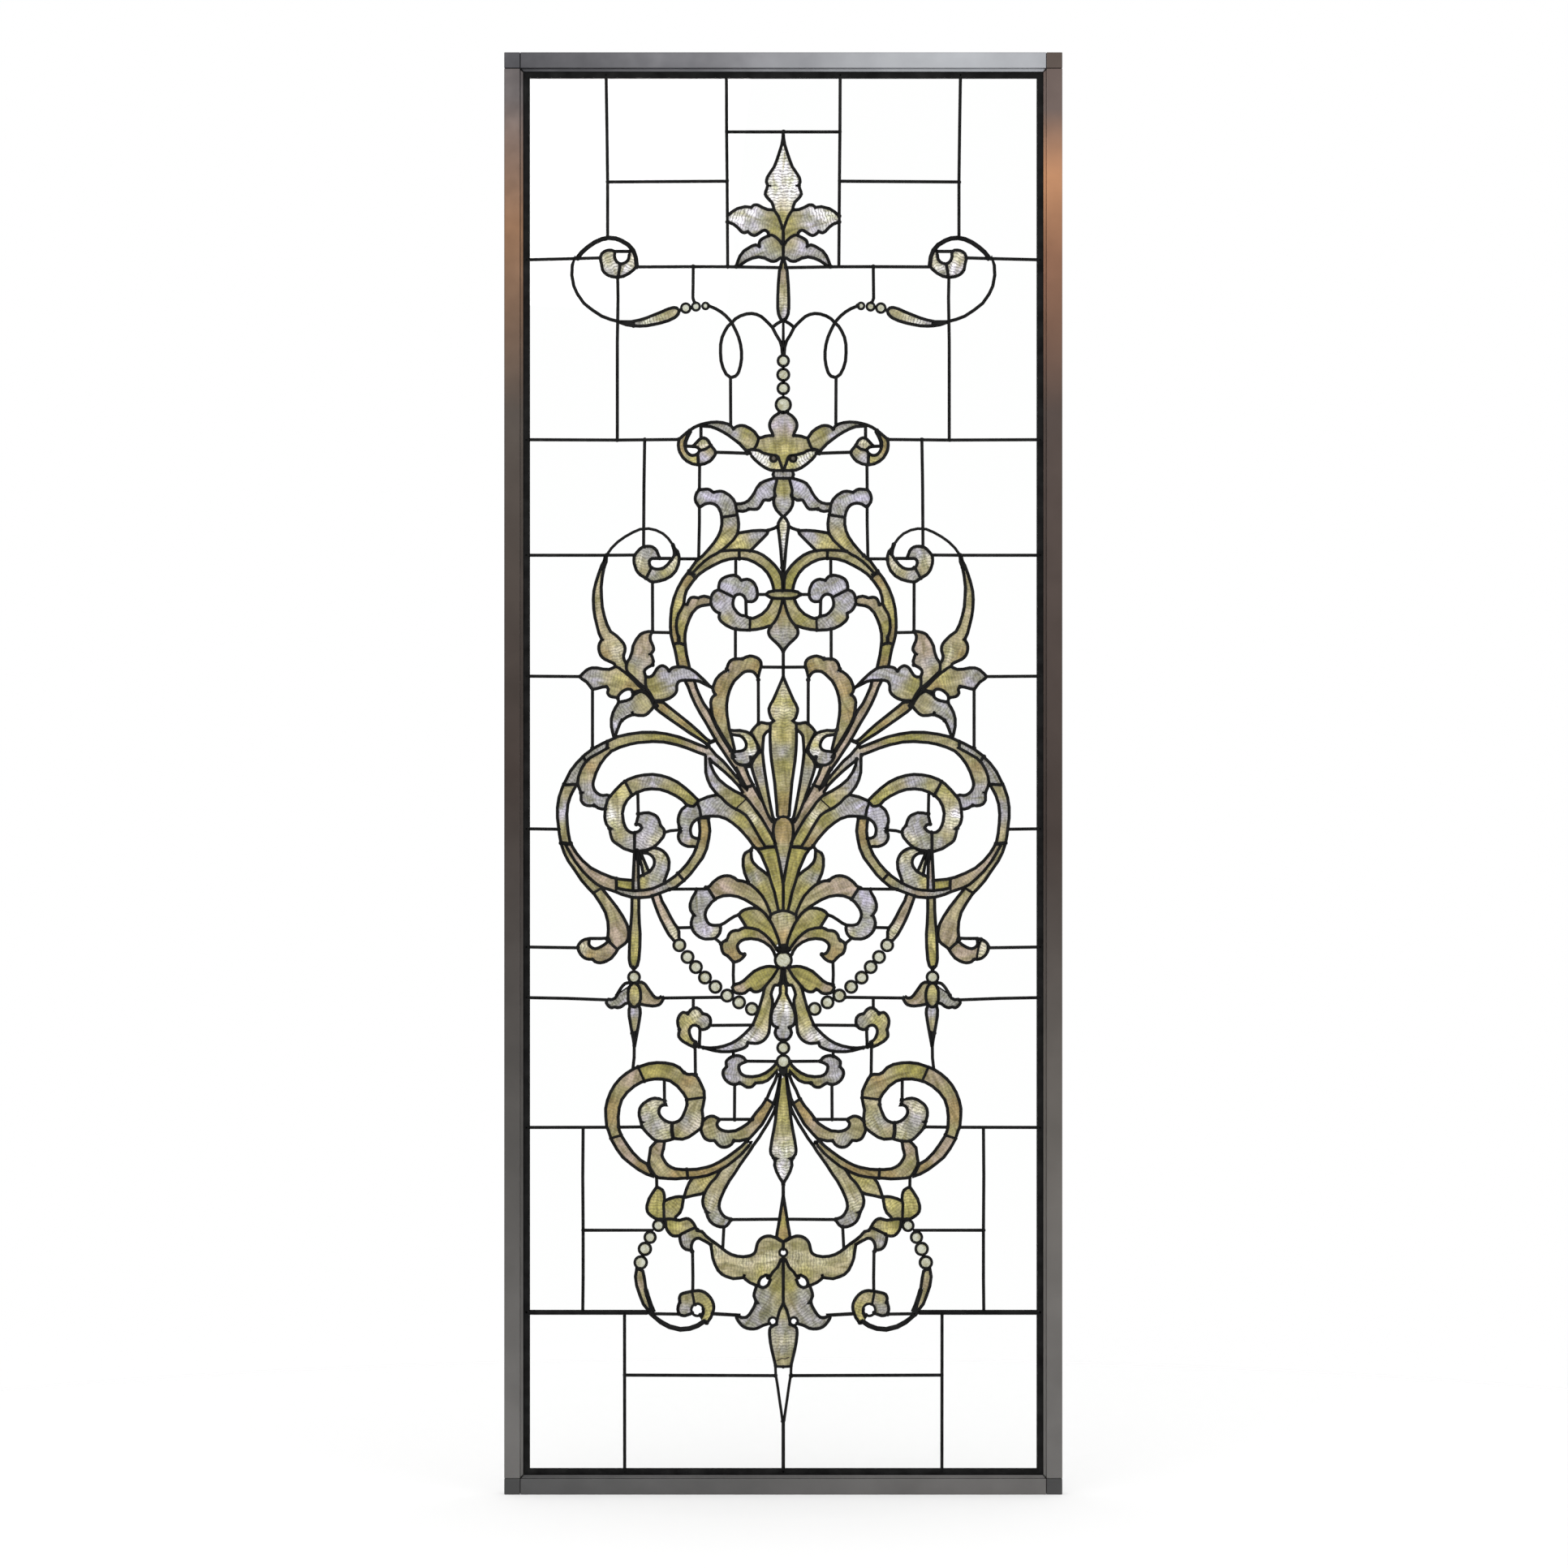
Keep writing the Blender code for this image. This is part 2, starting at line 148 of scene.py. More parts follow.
# The same for the ornament, top to bottom.
SCROLL_CAMES = {
    "top scrolls": """
w6.5 -285.5,1716.5 -279.5,1724 -271.5,1731 -262,1737.5 -252,1742 -243,1743.8 -233,1743 -225,1740 -215,1734
  -208.5,1726.5 -205,1717 -203.5,1704
-289.5,1716 -293,1706 -293.7,1692 -291,1677 -286,1666 -277,1653 -265,1643.5 -252,1635 -240,1630.5
  -230,1628
-254.5,1716 -252,1722 -245.5,1726 -238,1726.5 -234,1724.5
-254.5,1716 -252.5,1708 -251,1699.5 -246,1693.5 -238,1690 -230,1689 -222,1690.5 -214,1694.7 -207.5,1700
  -204,1704
-234,1725 -224,1725 -213,1725
-234,1725 -234.5,1718 -232,1711.5 -226.5,1707.8 -219.5,1709.3 -214.8,1714.5 -213.8,1721 -213,1727
w5 -229.5,1689 -228,1698 -226.5,1707
-230,1627.5 -222,1627.3 -211,1627.3 -200,1629.5 -190,1632.5 -180,1636.5 -170,1640.5 -160,1645 -153,1647
  -148,1646.3 -144.5,1643
-230,1627.5 -218,1623.2 -209,1621.8 -200,1621.3 -190,1621.8 -180,1623.6 -170,1625.8 -160,1628.8
  -151.5,1632.8 -146,1638 -144.5,1643
w5 -229,1627.3 -220,1625.5 -208,1624.5
-102.5,1649 -94,1645.5 -86.5,1641 -80,1635.7 -75,1630.3 -71.5,1626
-71.5,1626 -66.5,1631.4 -59.5,1635.5 -51,1638.2 -43.7,1638.8 -37,1637.5 -30.5,1634.5 -25,1629.7
  -19.5,1624.3 -15,1619.3 -10,1609.5 -4.5,1600.5 -2,1592 -1.2,1582
-71.5,1626 -77,1621 -81,1614.5 -85,1605.7 -87,1595.7 -87.2,1584.3 -86.4,1573 -83.6,1563 -79.3,1554.5
  -73,1549.7
-71.5,1626 -69,1621 -65.5,1614 -62,1605.7 -59.3,1595.7 -58,1585.7 -58,1575.7 -59.5,1566 -62,1557.5
  -66.5,1551.7 -73,1549.7
-14.5,1620 -9,1624.5 -2,1628.5
""",
    "finial": """
0,1891 -0.5,1882 -2,1873 -5.3,1862.5 -9,1851.5 -12.5,1842.5 -18.5,1833.5 -22,1828 -23.3,1821.5
  -21.5,1816.5
-21.5,1816.5 -23,1811.5 -25,1804.5 -21,1798.5 -16,1793.5 -13.8,1788 -13,1782.5
-21.5,1816.5 -17,1816
-13,1782.5 -10.5,1779.5 -7,1774 -3.7,1765.5 -1,1757
-13,1782.5 -21.5,1783 -28.7,1785.8 -35,1789.2 -40.7,1789.2 -44.3,1786 / -53,1787 -64,1784.3 -71,1780
  -77.5,1774
-77.5,1766 -69.5,1763 -64,1759 -58.5,1753 -54,1751 -49.3,1752.7 / -45.7,1749.3 -40,1747.2 -34.3,1750
  -29,1753.7 -24.5,1754.3 -21,1751 -20,1747
-20,1747.5 -15.5,1747.5 -10,1744.3 -5,1740 -2,1735
-20,1747 -27,1743.6 -32,1740 -33.7,1734 -33.2,1731.7 / -38.6,1734 -46,1731 -54.5,1725.7 -60,1718.6
  -63,1711.4 -65.5,1704
-62,1704 -58.6,1707 -51.4,1712 -43,1715.7 -34.3,1717.5 -25.7,1715.7 -17,1711.5 -10,1712 -4,1716
-1.5,1712 -3.5,1705 -5.3,1698 -6.8,1680 -7.6,1660 -7.6,1646 -6.6,1638 -4,1632 -0.5,1628.5
""",
    "crown": """
-6.5,1500 -12,1496.5 -17,1490.7 -19,1484.3 -18,1478.5 -15,1472.5 -14.3,1469.3 / -19.5,1469 -25,1468.3
  -29.3,1466.6 -34,1465.5
-34,1465.5 -35.5,1460 -37.5,1455 -41,1449.5
-41,1449.5 -33.7,1448.5 -28,1445 -20.7,1443 -15,1442 -9.3,1441.2 -6.4,1437.9 -4.3,1431.4 -2,1425 -1,1421.5
-145,1463.8 -139.3,1468.8 -132,1475 -123.5,1480.8 -115,1484.4 -108,1486.2 -100.7,1487.5 -92,1488
  -83.5,1487 -76.5,1485 -72,1482 -69.3,1478
-69.3,1478 -66.5,1480.7 -60.7,1483 -53.5,1482.6 -46.4,1479.3 -40,1474.3 -36.5,1469.3 -34,1465.5
-112,1482.5 -100.7,1481.7 -92,1478.6 -83.5,1474.3 -75,1469 -68,1463.7 -60.7,1458 -55,1452 -50,1446.5
-94,1446 -75,1445.5 -47,1444.5
w5 -49,1448.5 -41,1450.5
-47,1446.5 -44,1441 -39.3,1435.7 -32,1429.3 -25,1424.5 -18,1421.5 -12,1420.7 0,1420.4
w4.5 -12.5,1420.7 -14.3,1415 -12.5,1410
-12.5,1410 0,1409.8
-145,1463.8 -145.7,1456 -145,1450 -143.5,1445.7 -139.3,1438.7 -133.6,1433.6 -126.4,1430 -118,1428.5
  -109.5,1430 -102,1433.7 -96.5,1440 -94,1445.5 -96.5,1450.5 -101,1455.5
-101,1455.5 -103,1460 -106.5,1464.2 -111.5,1466 -116.5,1463.7 -120.7,1459.3 -125,1454.5
w6 -129.5,1474.5 -133.5,1467 -136,1460.5 -136.5,1454.5
-136.5,1454.5 -135.5,1449.5 -132.8,1445 -128.5,1442 -123.5,1441.8 -118.5,1444.4 -115.4,1449.3
-137,1454.6 -130,1454.4 -123.5,1454 -118.5,1452.5 -115.4,1449
-114.3,1484.5 -114.3,1465.5
-115,1448.7 -108,1450.3 -101.5,1455
w5 -118.6,1443.5 -118,1429
-12.5,1409.8 -19.5,1408 -26.4,1405.7 -32,1402.7 -36.4,1397 -40,1390 -43.7,1384.2 -48.7,1378.6 -53.6,1375.8
  -59.3,1374.4 -66,1374.4
-8.5,1409.5 -10.5,1401 -12.5,1393 -11.5,1386
-11.5,1386 -13.4,1379 -12.5,1372 -9.5,1366 -5,1361 -0.8,1357
-12.2,1384 -19.3,1379.5 -25,1380 -27.5,1379 -29.5,1375.7 -33,1370 -36.5,1367.1 -43.6,1367 -48,1367.4 /
  -52,1365 -56.5,1364 -64.5,1365
-116.5,1394 -120,1390 -122.2,1383 -121.4,1377 -118,1371.7 -116.3,1369.5 -109.3,1374 -102,1375.4 -95,1373.7
  -90,1369.2 -87,1363 -85.4,1355.7 -85.3,1346 -87,1337 -90.7,1328.6 -96.4,1320 -103.6,1311.4 -111.5,1302.5
-116.5,1394 -106.5,1394.8 -102,1393.8 -97,1390.3 / -92,1391.3 -88,1391.9 -82,1390.7 -75,1386.4
  -69.3,1380.5 -66.4,1374.3 -65,1365.7 -64.3,1360 -62.9,1354 -62,1347 -62.4,1340 -63.8,1332.5
-85.2,1355.7 -64.3,1359
-62.5,1333.8 -53.6,1335.3 -43.6,1336.8 -32,1337.5 -23.5,1337.2 -18,1338.6 -12,1340.7 -7.5,1343.5
-21,1337.5 -22.5,1332.7 -29.3,1325.7 -36.4,1318.6 -43.6,1311.4 -46.5,1309
-63.8,1332.5 -69.3,1324.3 -78,1315.7 -86.5,1309 -93.6,1304.7 -101,1301 -109.3,1295 -118,1287 -127,1277
""",
    "upper ring": """
-111.5,1302.5 -120.7,1295 -129.3,1283 -139.3,1270 -146.5,1257 -152,1243 -155.3,1228.6 -156.5,1214.3
  -156.7,1203 -155.7,1191.5 -153.6,1183 -150.7,1173 -148.6,1163 -146.4,1150.5
-88,1308.5 -82,1309.2 -72,1310 -61,1310.3 -53.6,1310 -45,1309.2 -36.4,1307 -28,1303 -19.3,1296.4
  -12,1289.3 -6.4,1282 -3,1276 -1.4,1268 -0.8,1255
-13,1254.5 -14.5,1262 -17.2,1270 -22,1278.6 -29.3,1286.4 -39.3,1293 -49.3,1297.3 -58,1298.7 -66.4,1298.6
  -75,1297.7 -86.5,1294.3 -98,1288.6 -108,1283 -116.5,1277 -122,1271.5 -128,1263.6 -134.3,1254.3
  -137,1245.7 -138,1237
-61.5,1310 -61,1298.5
w5 -131,1281 -122.5,1271.5
w6 -130,1277.5 -125,1276
-138,1235 -133.6,1234.5 / -131.4,1240 -128.6,1243.6 -123.6,1244.7 -118,1243.6 -115,1245 -110,1246.1
  -104.5,1245 -100.3,1243
-100.5,1235 -106.4,1234 -113.6,1232.9 -120.7,1229.3 -126.4,1223 -130.7,1214.3 -134.3,1204.3 -136.4,1194.3
  -136.7,1184.3 -135.7,1174.3 -134.3,1164.3 -132,1154.3 -130.5,1147.5
-138,1235.5 -141.4,1228.6 -145.7,1221.4 -148,1213 -148.6,1203 -147.3,1195 -145.2,1188.6 -145,1181
w5 -152,1179.5 -145,1181.5 -136.8,1178.5
w6 -145,1190 -145,1182
-89.5,1255 -95,1253 -98.7,1248.6 -100.3,1243.5 -100.7,1237 -98,1230 -93.6,1225 -88.6,1222.3 / -89.3,1217
  -86.4,1211.4 -79.3,1205.7 -70.7,1201.5 -60.7,1199.5 -49.3,1199 -38,1200 -28,1202 -19.3,1205
-89.5,1255 -89.6,1259.5 -88.5,1265 -85,1270 -78,1273.6 -72,1275 -66.5,1275 -61.5,1272 -58.5,1268 /
  -55,1269 -50.7,1269.7 -45,1268 -40,1263.6 -37,1257 -35.8,1250 -36.5,1245 -39.3,1240.7 -44,1238.5
  -51,1239
-51.7,1240 -53,1243.5 -56,1247.2 -60.7,1249 -66.4,1247.3 -69.4,1241 -70,1234.3 -68,1228.6 -63.6,1223
  -58,1219.4 -51.5,1218.5
-52,1241 -51.7,1228 -51.5,1218.5
-51.5,1218.5 -45.7,1215 -38,1216.8 -29.3,1221.3 -22,1228.6 -18,1235.7 -15,1243
-89.3,1255 -82,1251.4 -75,1248 -68.5,1244.5
w4 -46,1215.2 -46.5,1199.3
-24.3,1248.5 -20,1252 -12,1253.7 0,1254
-24.3,1248.5 -18,1244.4 -10.7,1243 0,1242.8
-1,1242.8 -2.5,1234 -5,1225 -8,1217.5 -12,1210.5 -16.5,1205.5 -19.7,1200 -20.4,1195 -18,1189.5 -13,1184.5
  -7.5,1179.5 -3,1174 0,1169
-0.8,1357 -4.2,1352.5 -7,1347 -7,1339 -5.7,1331 -4.5,1320 -3.5,1311 -2.5,1298 -1.5,1286 -0.5,1279
-30.5,1148.5 -31,1154.3 -34.5,1159.3 -40.7,1162.1 -46.5,1163 -52,1161.5 -56.5,1159 / -63.6,1159
  -69.3,1158.6 -74.3,1155.3 -77,1150 -78.5,1145 / -76.4,1142
-78,1142.5 -75,1141.8
-78,1142.5 -82,1141.4 -88.6,1136.4 -93.7,1130 -96.5,1123 -98,1118.6 -96.6,1113 -94.5,1109.5 / -98.6,1105.5
  -100.7,1098.6 -100,1090
-31,1148.5 -33.3,1140.5 -34.7,1130 -37,1136 -41,1140.5 -45.7,1142 -53.6,1141.3 -60.7,1135.7 -68,1128.6
  -72,1121.5 -75,1114.3 -77.3,1105.7 -78.6,1096 -78.6,1088 -78,1080 -76.4,1070 -75,1061.4
""",
    "flower": """
w4 -245.5,1303 -238.6,1312.9 -230,1321.4 -220,1328.6 -208.6,1335 -198.6,1339.2 -187,1340 -177,1337.9
  -167,1333 -160,1326.6 -154.5,1319 -150.5,1311
w6 -153.5,1318 -151,1310 -150.5,1304
-150.5,1311 -147,1308.6 -144.5,1298.6 -145.7,1290 -149.3,1281.4 -155.7,1274.3 -164.3,1269.4 -173,1267
  -180,1266 -185,1267 -190,1270.7 -198.6,1275.8 -204.3,1283 -207,1291.4 -207,1301.4 -204.3,1305.7
  -200,1310.7 -195,1314.3 -188.6,1315.4 -181.4,1314.3 -175.8,1309.3 -173,1302 -171.5,1298.6
-171.5,1298.6 -157,1298.6
-150.5,1304 -153,1300 -156.3,1295.5 -160.5,1290 -165.7,1285.7 -173,1283.6 -180,1284.3 -184.3,1287
  -186,1291.4 -185.6,1295.7 -182,1298.6 -171.5,1298.6
w4.5 -189.3,1273.5 -183.8,1284.3
-245.5,1303 -248,1296 -252,1289 -256.4,1277 -260,1265.7 -263,1253 -263.8,1241.4 -263.2,1228.6 -261.5,1217
  -258.7,1205.7 -255.8,1194.3 -252,1186.2 / -255.3,1180 -256.2,1173 -253.7,1164.3 -248,1158.6 -240,1155
  -234.5,1152 -233,1148.5
-252,1186.2 -248.8,1185.2
-245.5,1303 -246,1294 -249,1286 -251.5,1273 -253,1258.6 -252.5,1244.3 -251.5,1231.4 -248.7,1218.6
  -245,1207 -240,1197 -231.4,1190.8 -224.3,1183.6 -220.3,1177 -220,1170 -222,1163 -220.5,1156.5
  -217.8,1153
w6 -247,1299 -250.5,1286
-217.8,1153 -213,1160 -210,1168.6 -208.6,1177 -204.3,1185.7 -198.6,1192.9 -193,1195.7 -187,1197 -182,1197
  -184.8,1191.4 -184.3,1184.3 -181,1177 -180.2,1171.4 -184,1166
-184,1166 -182,1161.4 -180.4,1155.7 -181.5,1150.8 / -187,1148 -191.8,1144.3 -193,1140 -191,1134.5
-184,1166 -187.3,1165
-218,1153 -218,1146 -216,1140.5 -209,1134 -200,1125.5 -193,1119.5
-233,1148.5 -228,1146.3 -219,1139.5 -209,1130.5 -201,1122 -195,1117
-191,1134.5 -191.5,1127 -191,1120 -188.6,1116
-233,1148.5 -236,1146.7 -241.4,1144.4 -250,1144.7 -258.6,1146.5 -265.7,1146.5 -273,1143.6 -278.6,1138.6
  -282.5,1134.3 -279.5,1131.2 -273,1127 -268.6,1121.5 -265,1117.3 -258.6,1118 -251.4,1120 -245.5,1120.7 /
  -243,1117 -243.8,1111.5 -240,1107 -233,1105.7 -230,1104.5
-230,1104.5 -228.6,1108.6 -223,1114.2 -217,1117 -211.4,1116.4 -208.8,1113 / -201.4,1114.3 -195,1116.5
-208.8,1113 -208.6,1108.5 -211.4,1104 -218.6,1100.8 -227.5,1099
-230,1104.5 -228.7,1098.6 -233,1091.4 -236.5,1084.3 -238.7,1075.7 -238.7,1065.7 -237,1057 -235.2,1050
-234,1050.5 -230.7,1060 -227,1069.3 -224,1074 / -217,1078.6 -208.6,1082 / -201.4,1080.6 -194.3,1080.4
  -188.6,1083 -183,1088.6 -180,1093
-208.8,1082.5 -210.5,1086
-208.6,1108.5 -204.3,1110.8 -198.6,1113.7 -193,1112.2 -187,1107 -183,1101.4 -180.5,1096
-191,1134.5 -185.7,1133.8 -180.6,1137 -175.7,1145 -171.4,1148.6 -167,1149.4 -162,1146.5 -158.6,1142.3 /
  -154.3,1146.4 -147,1148 -138.6,1148 -130,1145.8 -121.4,1140 -110,1129.5 -102,1121 -98,1118.6
-98,1118.6 -109.3,1124.2 -116.4,1127.8 -123.6,1129.3 -135,1129.4 -140.7,1129.3 -145.7,1127 -148,1121.5
  -148,1115.7 -150.8,1110 -158,1104.5 -163,1102.5 -168.6,1101.3 -178,1101
-188.6,1116 -184.3,1110 -181.2,1104 -178,1099
w6 -196,1116 -190,1111 -183,1104 -178,1097
w9 -180,1099 -177,1094
-178,1101 -173,1099 -166.4,1098.4 -158,1091.4 -143.6,1080 -129.3,1068.6 -118,1058.6 -109.3,1050.2
  -101,1044.5 -95,1046.5
-180,1093 -172,1085.7 -158,1075.7 -143.6,1065.7 -129.3,1055.7 -115,1047 -105,1040 -103.5,1037.5
w5 -105,1041 -96,1045
""",
    "upper centre": """
w5 0,1758 0,1712
0,1630 0,1586
w5 0,1592 0,1580
w8 0,1567 0,1560
w8 0,1547 0,1541
w8 0,1528 0,1521
w8 0,1503 0,1499
w6 0,1286 0,1256
0,1169 0,1134
""",
    "stems": """
-135.7,1127 -132,1120 -127.9,1108.6 -122,1095.7 -115,1082.9 -107.9,1071.4 -100.7,1058.6 -95,1048.6
  -90.7,1041.4 -82,1028.6 -73.6,1015.7 -66.4,1005.7 -63.6,1001.4
-123.6,1128.6 -120.7,1118.6 -116.4,1108.6 -110.7,1097 -105,1089.3 -100.7,1081.4 -96.4,1071.4 -90.7,1060
  -85,1050 -77.9,1038.6 -72,1030 -67.9,1022.9
-105,1038 -100.7,1034.3 -93.6,1025.7 -83.6,1017 -75,1007 -67.9,998.6 -60.7,991.4
-102,1020 -99.3,1017 -90.7,1010 -80.7,1001.4 -70.7,992 -62,982.9 -56.4,974.3
w7 -63,996 -57,985 -51,979
-100,1090 -97.9,1078.6 -93.6,1068.6 -87.9,1058.6 -82,1048.6 -76.4,1040 -72,1032.9
-75,1061.4 -72,1051.4 -69.3,1040 -67.9,1034.3
""",
    "big ring": """
-106.4,1035.7 -115.7,1039.3 -130,1045 -144.3,1050.4 -161.4,1054.6 -178.6,1057 -195.7,1057 -215.7,1054.3
  -230.7,1050.7 -238.6,1047 -250,1042 -264.3,1034.3 -275.7,1025.7 -287,1014.3 -295.7,1002.9 -301.4,991.4
  -306.4,981.4 -311.4,967 -313.6,952.9 -313.6,938.6 -312,925.7 -310.7,914.3 -308.6,902.9 -304.3,890
  -298.6,878.6 -288.6,864.3 -280,851.4 -270,840 -262.9,832.9 -254.3,820 -247,807 -243.6,794.3 -242.9,782.9
  -243.6,772.9
-108.6,1025.7 -118.6,1029.3 -132.9,1035 -148.6,1040 -165.7,1043.6 -181.4,1044.3 -201.4,1042.9
  -212.9,1040.7 -227,1036.4 -238.6,1031 -247,1022.9 -254.3,1012.9 -260,1001.4 -263.6,990 -264.3,982.9
  -261.4,975.7 -255.7,970.7 -250,969.3 -245,970 -240.5,968.6
w5 -244.3,1044 -244.3,1036
-243,1035.5 -245.7,1034.3 -258.6,1027 -268.6,1021.4 -275.7,1014.3 -281.4,1004.3 -284.3,995.7 -285.7,987
  -283.6,980 -280.7,973 / -280.7,968.6 -280.7,962.9 -276.4,957 -268.6,955 -262.9,955.7 / -257,952
  -251.4,950.4 -247,950.7
-280.7,973 -276.4,973.6
-277,1022 -274,1016
w5 -302,984 -287,985
-287,984.5 -291.4,977 -295.7,968.6 -299.3,957 -300.7,942.9 -300,930 -298.6,917 -296.4,905.7 -292.9,898
  -287,888.6 -278.6,878.6 -267,868.6 -252.9,861.4 -238.6,855.7 -227,852.9 -210,851.4
w6 -309,903.5 -296,902
-302,900 -295.7,888.6 -288.6,877 -278.6,864.3 -268.6,854.3 -258.6,845.7 -250,841.4 -241.4,838.6
  -232.9,835.7 -224.3,832 -210,827.9 -198.6,827.4 -185.7,828.6 -170,834.3 -158.6,838.6 -149.3,842
  -137.9,851.4 -129.3,860 -120.7,871.4 -112,882.9 -106.4,895.7 -103.6,908.6 -102,920 -102.9,928.6
  -104.3,937.5
-231.4,840.7 -221.4,838.6 -207,837 -192.9,837.9 -181.4,840 -170,845 -160,850.5 -150,857.5 -142,865
  -133.6,874.3 -125,887 -120.7,897 -117.9,905.7 -116.4,912.9 -115.7,920 -116.4,930 -117.9,937.5
w4.5 -145.5,860 -138,851.5
w5 -232,853.5 -231.5,840
w5 -206,918 -206.5,914 -206.5,891 -207.5,870 -208.5,851 -208.8,838
-203.5,893 -201.5,872 -201,856 -200.5,838
-202.5,893 -196.4,871.4 -194.3,858.6
-199,892 -191.4,874.3 -187,864.3
-191,893 -188.6,892.9 -181.4,896.4 -174.3,895.7 -167,892 -161.4,885.7 -158.6,877 -159.3,867 -162.9,857
  -165.5,850.5
-194,889.5 -189.3,889.3 -184.3,887 -180,882 -178.9,875.7 -180.7,870 -184.3,865 -188.6,862 -192.9,860
  -197,857.9 -200.7,855.7
""",
    "arch and volute in the big ring": """
-118.6,962.9 -127,971.4 -135.7,979.3 -147,987.9 -158.6,993.6 -170,997 -181.4,998.6 -192.9,997.9
  -204.3,995.7 -215.7,991.4 -224.3,985.7 -232.9,977 -240,968.6 -244.3,962.9 -247,952.9 -247.9,940
  -245.7,930 -241.4,924 / -240,917 -237,907 -230,901.4 -221.4,895.7 -208.6,891.4
-241.4,924 -237.9,922.9
-134.3,956.4 -140,962.9 -148.6,968.6 -160,974.3 -171.4,977.9 -182.9,978.6 -192.9,977.4 -201.4,974.3
  -207,971.4 -211.4,968.6 -217,962.9 -221.4,954.3 -223.6,944.3 -222,932.9 -217.9,922.9 -211.4,917.9
  -205.7,917.9 -200,920 -196.4,924.3 -199.3,928.6 -204.3,929.3 / -202,938.6 -200.7,943.6 -194.3,945
  -187,945.4 -180,942.9 -175,939.3 -172,932.9 -170.7,927.9 / -166.4,922.9 -165,918.6 -167,911.4
  -172.9,904.3 -175.7,901.4 -181.4,897 -190,893.6 -201.4,892
w4.5 -218.5,986 -210.5,971
-133.5,956 -125,954.3 -119.3,960
-133.6,955.7 -140.7,950 -145,941.4 -146,932.9 -144.3,925.7 / -140.7,922 / -145,917 -145.5,910 -143.2,905
  -139.3,901.4 -132,898.6 -123.6,898.6 -120.7,897
-119.3,959 -116.4,951.4 -115,944.3 -114.5,938.5
-115,937.9 -120.7,935.7 -125.7,931.4 -128.5,925 -129,920 -127,912.9 -122,910 -117,909.5
-115,938 -104.3,938
""",
    "middle": """
-17.9,1069.3 -23.6,1069.3 -30.7,1070.7 -35.7,1067.9 -40.7,1062.9 -44.3,1057.9
-44,1055 -41.4,1051.4 -37,1042.9 -33.5,1036 -32.9,1030
-18,1062 -21,1059 -23.9,1057 -27.4,1051.4 -28.3,1041.4 -28.9,1028.6 -27.4,1014.3 -25.3,998.6 -23,984.3
  -20.3,968.6 -17.4,952.9 -14.6,940 -12.4,935.7
-32.9,1030 -36,1026 -41.4,1018.6 -44.3,1010 -42,1001.4 -37.9,988.6 -33.6,975.7 -29.3,962.9 -25,951.4
  -20,940 -15.7,932.9
w5 -35,1036 -33,1030
-74.5,1060 -67.9,1059.3 -60.7,1059.7 -52,1057.9 -45,1054.3 -39.3,1047 -35.7,1038.6 -34.7,1031.4
  -37.9,1025.7 -42.9,1022 -45.7,1022.9 / -45,1018.6 -47,1013.6 -53.6,1011.4 -60,1012 -65.7,1015 -69.3,1020
  -71.4,1025.7 -69.3,1030
-72,1054.3 -67.9,1053.6 -60.7,1052.6 -55,1048.6 -51.4,1041.4 -52,1035.7 -55.7,1032 -60.7,1030.7 -65,1030.3
  -69,1030
-65,1007 -59.3,995.7 -53.6,984.3 -50.7,980
-53,1009.5 -44.3,1009.5
-53,1009.5 -52,1007 -48.6,997 -43.6,987 -37.9,975.7 -31.4,964.3 -29.5,962
w5 -53,981 -46,982
-107.9,1025 -107.9,1014.3 -107.6,1001.4 -105,991.4 -100.7,982 -95.7,975.7 -92,970.7
-102,1020 -100.7,1011.4 -96.4,1001.4 -89.3,991.4 -79.3,982.9 -67.9,975.7 -59.3,971.4 -53.6,967.9 -46.4,960
  -39.3,950 -30.7,938.6 -23.6,927 -16.4,914.3 -11.4,902.9
-92,970.7 -85.7,966.4 -79.3,959.3 -70.7,952.9 -60.7,947.9 -52,942 -46.4,934.3 -42,927 -36.4,917 -30.7,907
  -27.9,902.9 -25,897.9
w2 -64,953 -55,961
w5 -25,898 -11.5,898.3
-117.9,962 -112,964.3 -105,967.4 -97.9,968.9 -92,970.5
-114.3,939.3 -106.4,940.3 -97.9,940.7 -89.3,940.3 -79.3,937 -70.7,931.4 -62,924.3 -55,917 -47.9,908.6
  -41.4,899.5
w4 -41.4,898.6 -36,896 -30.7,895.5
0,1134.3 -4.8,1122.9 -9.1,1112.9 -14.2,1101.5 -17.6,1095.7 -19.8,1090 -19,1082.9 -17,1077 -13,1073 /
  -17,1070 -18.2,1065.7 -18.2,1055.7 -18.2,1044.3 -17.6,1031.4 -16.2,1017 -14.1,1002.9 -11.9,987
  -10.5,971.4 -9.1,955.7 -8.2,941.4
w4 -9,936 -5,939.3 0,940
-10.4,935.7 -13.2,928.6 -14,920 -13.2,911 -10.4,898.6 -8,888.6 -5.2,875.7 -2.8,862.9 -0.5,848.6
0,849 0,810
-30.7,895.5 -23.6,897 -12,897.9
-41.4,898.6 -35.7,894.3 -30.7,887 -26.4,877 -22,867 -19.3,857 -15.7,845.7 -12,834.3 -9.3,821.4 -6.4,808.6
-41.4,898.6 -46.4,892.9 -52.9,889.3 -55.7,881.4 -55.7,871.4 -53.6,861.4 -49.3,851.4 -48,849
-45,893 -44.3,882.9 -41.4,875.7 -35,869.3 -27.9,864.3 -22,859
""",
